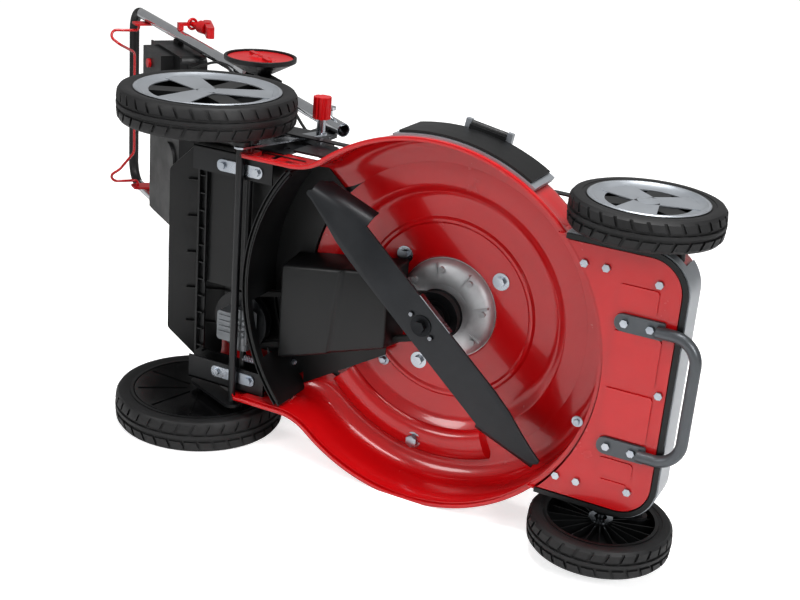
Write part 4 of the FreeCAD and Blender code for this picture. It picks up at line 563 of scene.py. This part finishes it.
# ---------------------------------------------------------------- drive
# Turned crankshaft and pinions, black painted shafts, a fabric-faced belt and a plated spring.
machined = finish("turned_steel", "8c8f93", "7c7f84", 1.0, 0.28, 0.07, 0.6, 0.006)
wear(machined, "crankshaft", "pinion_right", "pinion_left")
wear(black_paint, "height_quadrant", "handle_brackets", "gearbox_pulley", "drive_shaft", "rear_axle",
     "front_axle", "link_rod")
belt_rubber = finish("fabric_faced_belt_rubber", "101010", "181818", 0.0, 0.7, 0.06, 0.9, 0.05)
wear(belt_rubber, "drive_belt", "cables_upper", "cables_lower")
wear(zinc, "tension_spring", "height_lever")

# ---------------------------------------------------------------- blade
# A long pressed steel bar, dipped in dark paint: both tips are cut back in a curve and each trailing
# edge is folded up into a wing. It is bolted to a sintered hub with one bolt and two pins.
BLADE_DEG, BLADE_Z = 41.5, 100.0
iron = finish("sintered_iron", "38393b", "2c2d2f", 1.0, 0.5, 0.08, 1.2, 0.04)
blade_paint = finish("dipped_blade_paint", "1f2124", "292b2e", 0.25, 0.38, 0.07, 1.1, 0.02)
wear(iron, "blade_adaptor", "blade_bolt")
outline = [(0, -29), (140, -29), (172, -27), (205, -21), (235, -17), (253, -16), (255, -11), (251, -4),
           (158, 29), (0, 29)]
bar = dot("bar", at(outline[0][0], outline[0][1], BLADE_Z))
for here, there in zip(outline, outline[1:]):
    step = Vector((there[0] - here[0], there[1] - here[1], 0)) / 1000
    bpy.ops.mesh.extrude_vertices_move(TRANSFORM_OT_translate={"value": step})
bpy.ops.mesh.select_all(action="SELECT")
bpy.ops.mesh.edge_face_add()
bpy.ops.mesh.extrude_region_move(TRANSFORM_OT_translate={"value": (0, 0, 0.004)})
bpy.ops.mesh.select_all(action="SELECT")
bpy.ops.mesh.normals_make_consistent(inside=False)
pick("FACE", lambda m, n, f: m.x > 170 and m.y > 0 and abs(n.z) < 0.1 and n.y > 0.9)
for lift, out in ((0.003, 0.006), (0.009, 0.007), (0.011, 0.004)):
    bpy.ops.mesh.extrude_region_move(TRANSFORM_OT_translate={"value": (0.334 * out, 0.942 * out, lift)})
pick("VERT", lambda m, n, v: m.z > BLADE_Z + 12 and m.x > 235)
bpy.ops.transform.translate(value=(-0.012, 0.004, 0))
pick("FACE", lambda m, n, f: abs(m.x) < 0.1 and abs(n.x) > 0.9)
bpy.ops.mesh.delete(type="FACE")
bpy.ops.mesh.select_all(action="SELECT")
bpy.ops.mesh.duplicate()
bpy.ops.transform.rotate(value=math.pi, orient_axis="Z", center_override=at(0, 0, 0))
merge(0.00002)
turn_all(-BLADE_DEG, "Z", at(0, 0, 0))
apply(bar, "BEVEL", width=0.0008, segments=2, limit_method="ANGLE", angle_limit=math.radians(40))
done(bar, "blade_bar", blade_paint, "rotor", ["blade"], 30)

# The hub's machined edge beside the blade, and the ends of its two drive pins.
bright = [block("edge", -34, 34, -31.2, -29.6, 99, 108)]
turn_all(-BLADE_DEG, "Z", at(0, 0, 0))
for reach in (-22, 22):
    bright.append(round_bar("pin", 3.2, reach * math.cos(math.radians(BLADE_DEG)),
                            reach * math.sin(math.radians(BLADE_DEG)), 96.2, 99, 20))
done(join(bright[0], *bright[1:]), "hub_edge_and_pins", machined, "rotor")

# ---------------------------------------------------------------- tyres
# Moulded rubber treads: the section is turned round the wheel, with a groove beside its centre rib,
# and both shoulders are milled into slanted blocks. The rear pair is wider and taller.
tyre_rubber = finish("vulcanised_rubber", "121213", "1a1a1b", 0.0, 0.55, 0.08, 1.6, 0.05)


def grooves(x, z, count, y0, y1, radius, depth, width, slant, phase):
    """The cutters of a ring of slanted grooves round a tyre, from y0 to y1."""
    for i in range(count):
        angle = 2 * math.pi * (i + phase) / count
        groove = block("groove", x - width / 2, x + width / 2, y0, y1, z + radius - depth, z + radius + 4)
        bpy.ops.mesh.select_all(action="SELECT")
        bpy.ops.transform.rotate(value=-slant, orient_axis="Z", center_override=at(x, (y0 + y1) / 2, z))
        bpy.ops.transform.rotate(value=angle, orient_axis="Y", center_override=at(x, 0, z))
        clear()
        yield groove


def tyre(name, node, x, z, y, side, radius, rim, width, count):
    """One tyre at a wheel's centre; y is its inner face and side its direction outwards."""
    shoulder = width * 0.13
    half = [(rim, 2.0), (rim + 5, 1.2), (radius - 16, 0.4), (radius - 9, 0.0), (radius - 5, 1.4),
            (radius - 4, 3.0), (radius - 1.5, shoulder), (radius - 0.4, width * 0.34),
            (radius - 3.0, width * 0.36), (radius - 3.0, width * 0.43), (radius - 0.2, width * 0.45),
            (radius, width * 0.5)]
    line = half + [(r, width - h) for r, h in reversed(half[:-1])]
    line.append(line[0])
    piece = spun(name, [(r, side * h) for r, h in line], 96, (0, 1, 0), (x, y, z))
    tools = []
    for inner, outer, slant, phase in ((0.0, 0.38, -0.42, 0.0), (0.62, 1.0, 0.42, 0.5)):
        y0, y1 = sorted((y + side * (width * inner - 1), y + side * (width * outer + 1)))
        tools += grooves(x, z, count, y0, y1, radius, 3.6, 4.4, slant, phase)
    carve(piece, join(tools[0], *tools[1:]), "FAST")
    return done(piece, name, tyre_rubber, "wheel_" + name.replace("_tyre", ""), [node])


# End of the mower, axle x and z, inner face y, tyre radius, rim radius, width and number of blocks.
WHEELS = (("rear", -399, 135.5, 221, 135.5, 112, 51, 36), ("front", 299, 101.2, 208, 101.2, 80, 44, 30))
SIDES = (("right", -1), ("left", 1))
for end, x, z, y, radius, rim, width, count in WHEELS:
    for hand, side in SIDES:
        tyre(end + "_" + hand + "_tyre", end + "_tyre_" + hand, x, z, side * y, side,
             radius, rim, width, count)

# ---------------------------------------------------------------- wheel centres
# Black moulded hubs. Outside each carries a dished silver ring with three broad spokes, inside a
# plated washer; the rear ones are closed by glossy black dust covers that stay with the axle.
wear(black_mould, "rear_hub_right", "rear_hub_left", "front_hub_right", "front_hub_left")
gloss_black = finish("glossy_black_abs", "0a0a0b", "0f0f10", 0.0, 0.16, 0.04, 1.4, 0.006)
wear(gloss_black, "dust_covers")


def cap(x, z, y, side, rim, width):
    """The silver outer face of one wheel."""
    ring = [(rim - 1, width - 1.2), (rim - 3, width + 0.2), (rim - 6, width + 0.2), (rim - 9, width - 2),
            (rim - 15, width - 5), (rim - 24, width - 5.4), (rim - 24, width - 7), (rim - 15, width - 7.5),
            (rim - 8, width - 5), (rim - 1, width - 1.2)]
    shapes = [spun("ring", [(r, side * h) for r, h in ring], 96, (0, 1, 0), (x, y, z))]
    for turn_deg in (30, 150, 270):
        near, far = sorted((y + side * (width - 5.6), y + side * (width - 4.2)))
        spoke = block("spoke", x, x + rim - 16, near, far, z - 15, z + 15)
        pick("VERT", lambda m, n, v: m.x > x + rim - 30)
        bpy.ops.transform.resize(value=(1, 1, 1.9), center_override=at(x, y, z))
        turn_all(turn_deg, "Y", at(x, y, z))
        shapes.append(spoke)
    boss = ((0.1, width - 3), (12, width - 3), (16, width - 4.4), (19, width - 5.4))
    shapes.append(spun("boss", [(r, side * h) for r, h in boss], 48, (0, 1, 0), (x, y, z)))
    apply(shapes[-1], "SOLIDIFY", thickness=0.001)
    return join(shapes[0], *shapes[1:])


for end, x, z, y, radius, rim, width, count in WHEELS:
    for hand, side in SIDES:
        wheel = end + "_" + hand
        done(cap(x, z, side * y, side, rim, width), wheel + "_cap", silver_mould, "wheel_" + wheel)

# A plated washer inside each front wheel.
for hand, side in SIDES:
    section = [(9, -side), (17, -side), (17, side * 1.5), (9, side * 1.5), (9, -side)]
    washer = spun("washer", section, 40, (0, 1, 0), (299, side * 212, 101.2))
    done(washer, "front_washer_" + hand, zinc, "wheel_front_" + hand)

# ---------------------------------------------------------------- handle tubes
# Chromed steel tube; everything else on the handle is moulded.
chrome = finish("chromed_steel_tube", "d0d2d5", "c4c7cb", 1.0, 0.13, 0.05, 0.7, 0.003)
wear(chrome, "lower_tubes")
# The cross grip is dipped in black vinyl: the same finish turns black beyond a line behind it.
grip_tube = chrome.copy()
grip_tube.name = "chromed_tube_with_vinyl_grip"
made = {node.type: node for node in grip_tube.node_tree.nodes}
along = add_node(grip_tube, "ShaderNodeSeparateXYZ", {}, {0: made["TEX_COORD"].outputs["Object"]})
grip_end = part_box("upper_tube")[0][0] + 0.05
dipped = add_node(grip_tube, "ShaderNodeMath", {"operation": "LESS_THAN", 1: grip_end}, {0: along.outputs[0]})
vinyl_set = {"Base Color": linear("0d0d0e"), "Roughness": 0.5}
vinyl = add_node(grip_tube, "ShaderNodeBsdfPrincipled", vinyl_set, {})
grip_mix = add_node(grip_tube, "ShaderNodeMixShader", {},
                    {0: dipped.outputs[0], 1: made["BSDF_PRINCIPLED"].outputs[0], 2: vinyl.outputs[0]})
grip_tube.node_tree.links.new(grip_mix.outputs[0], made["OUTPUT_MATERIAL"].inputs["Surface"])
wear(grip_tube, "upper_tube")
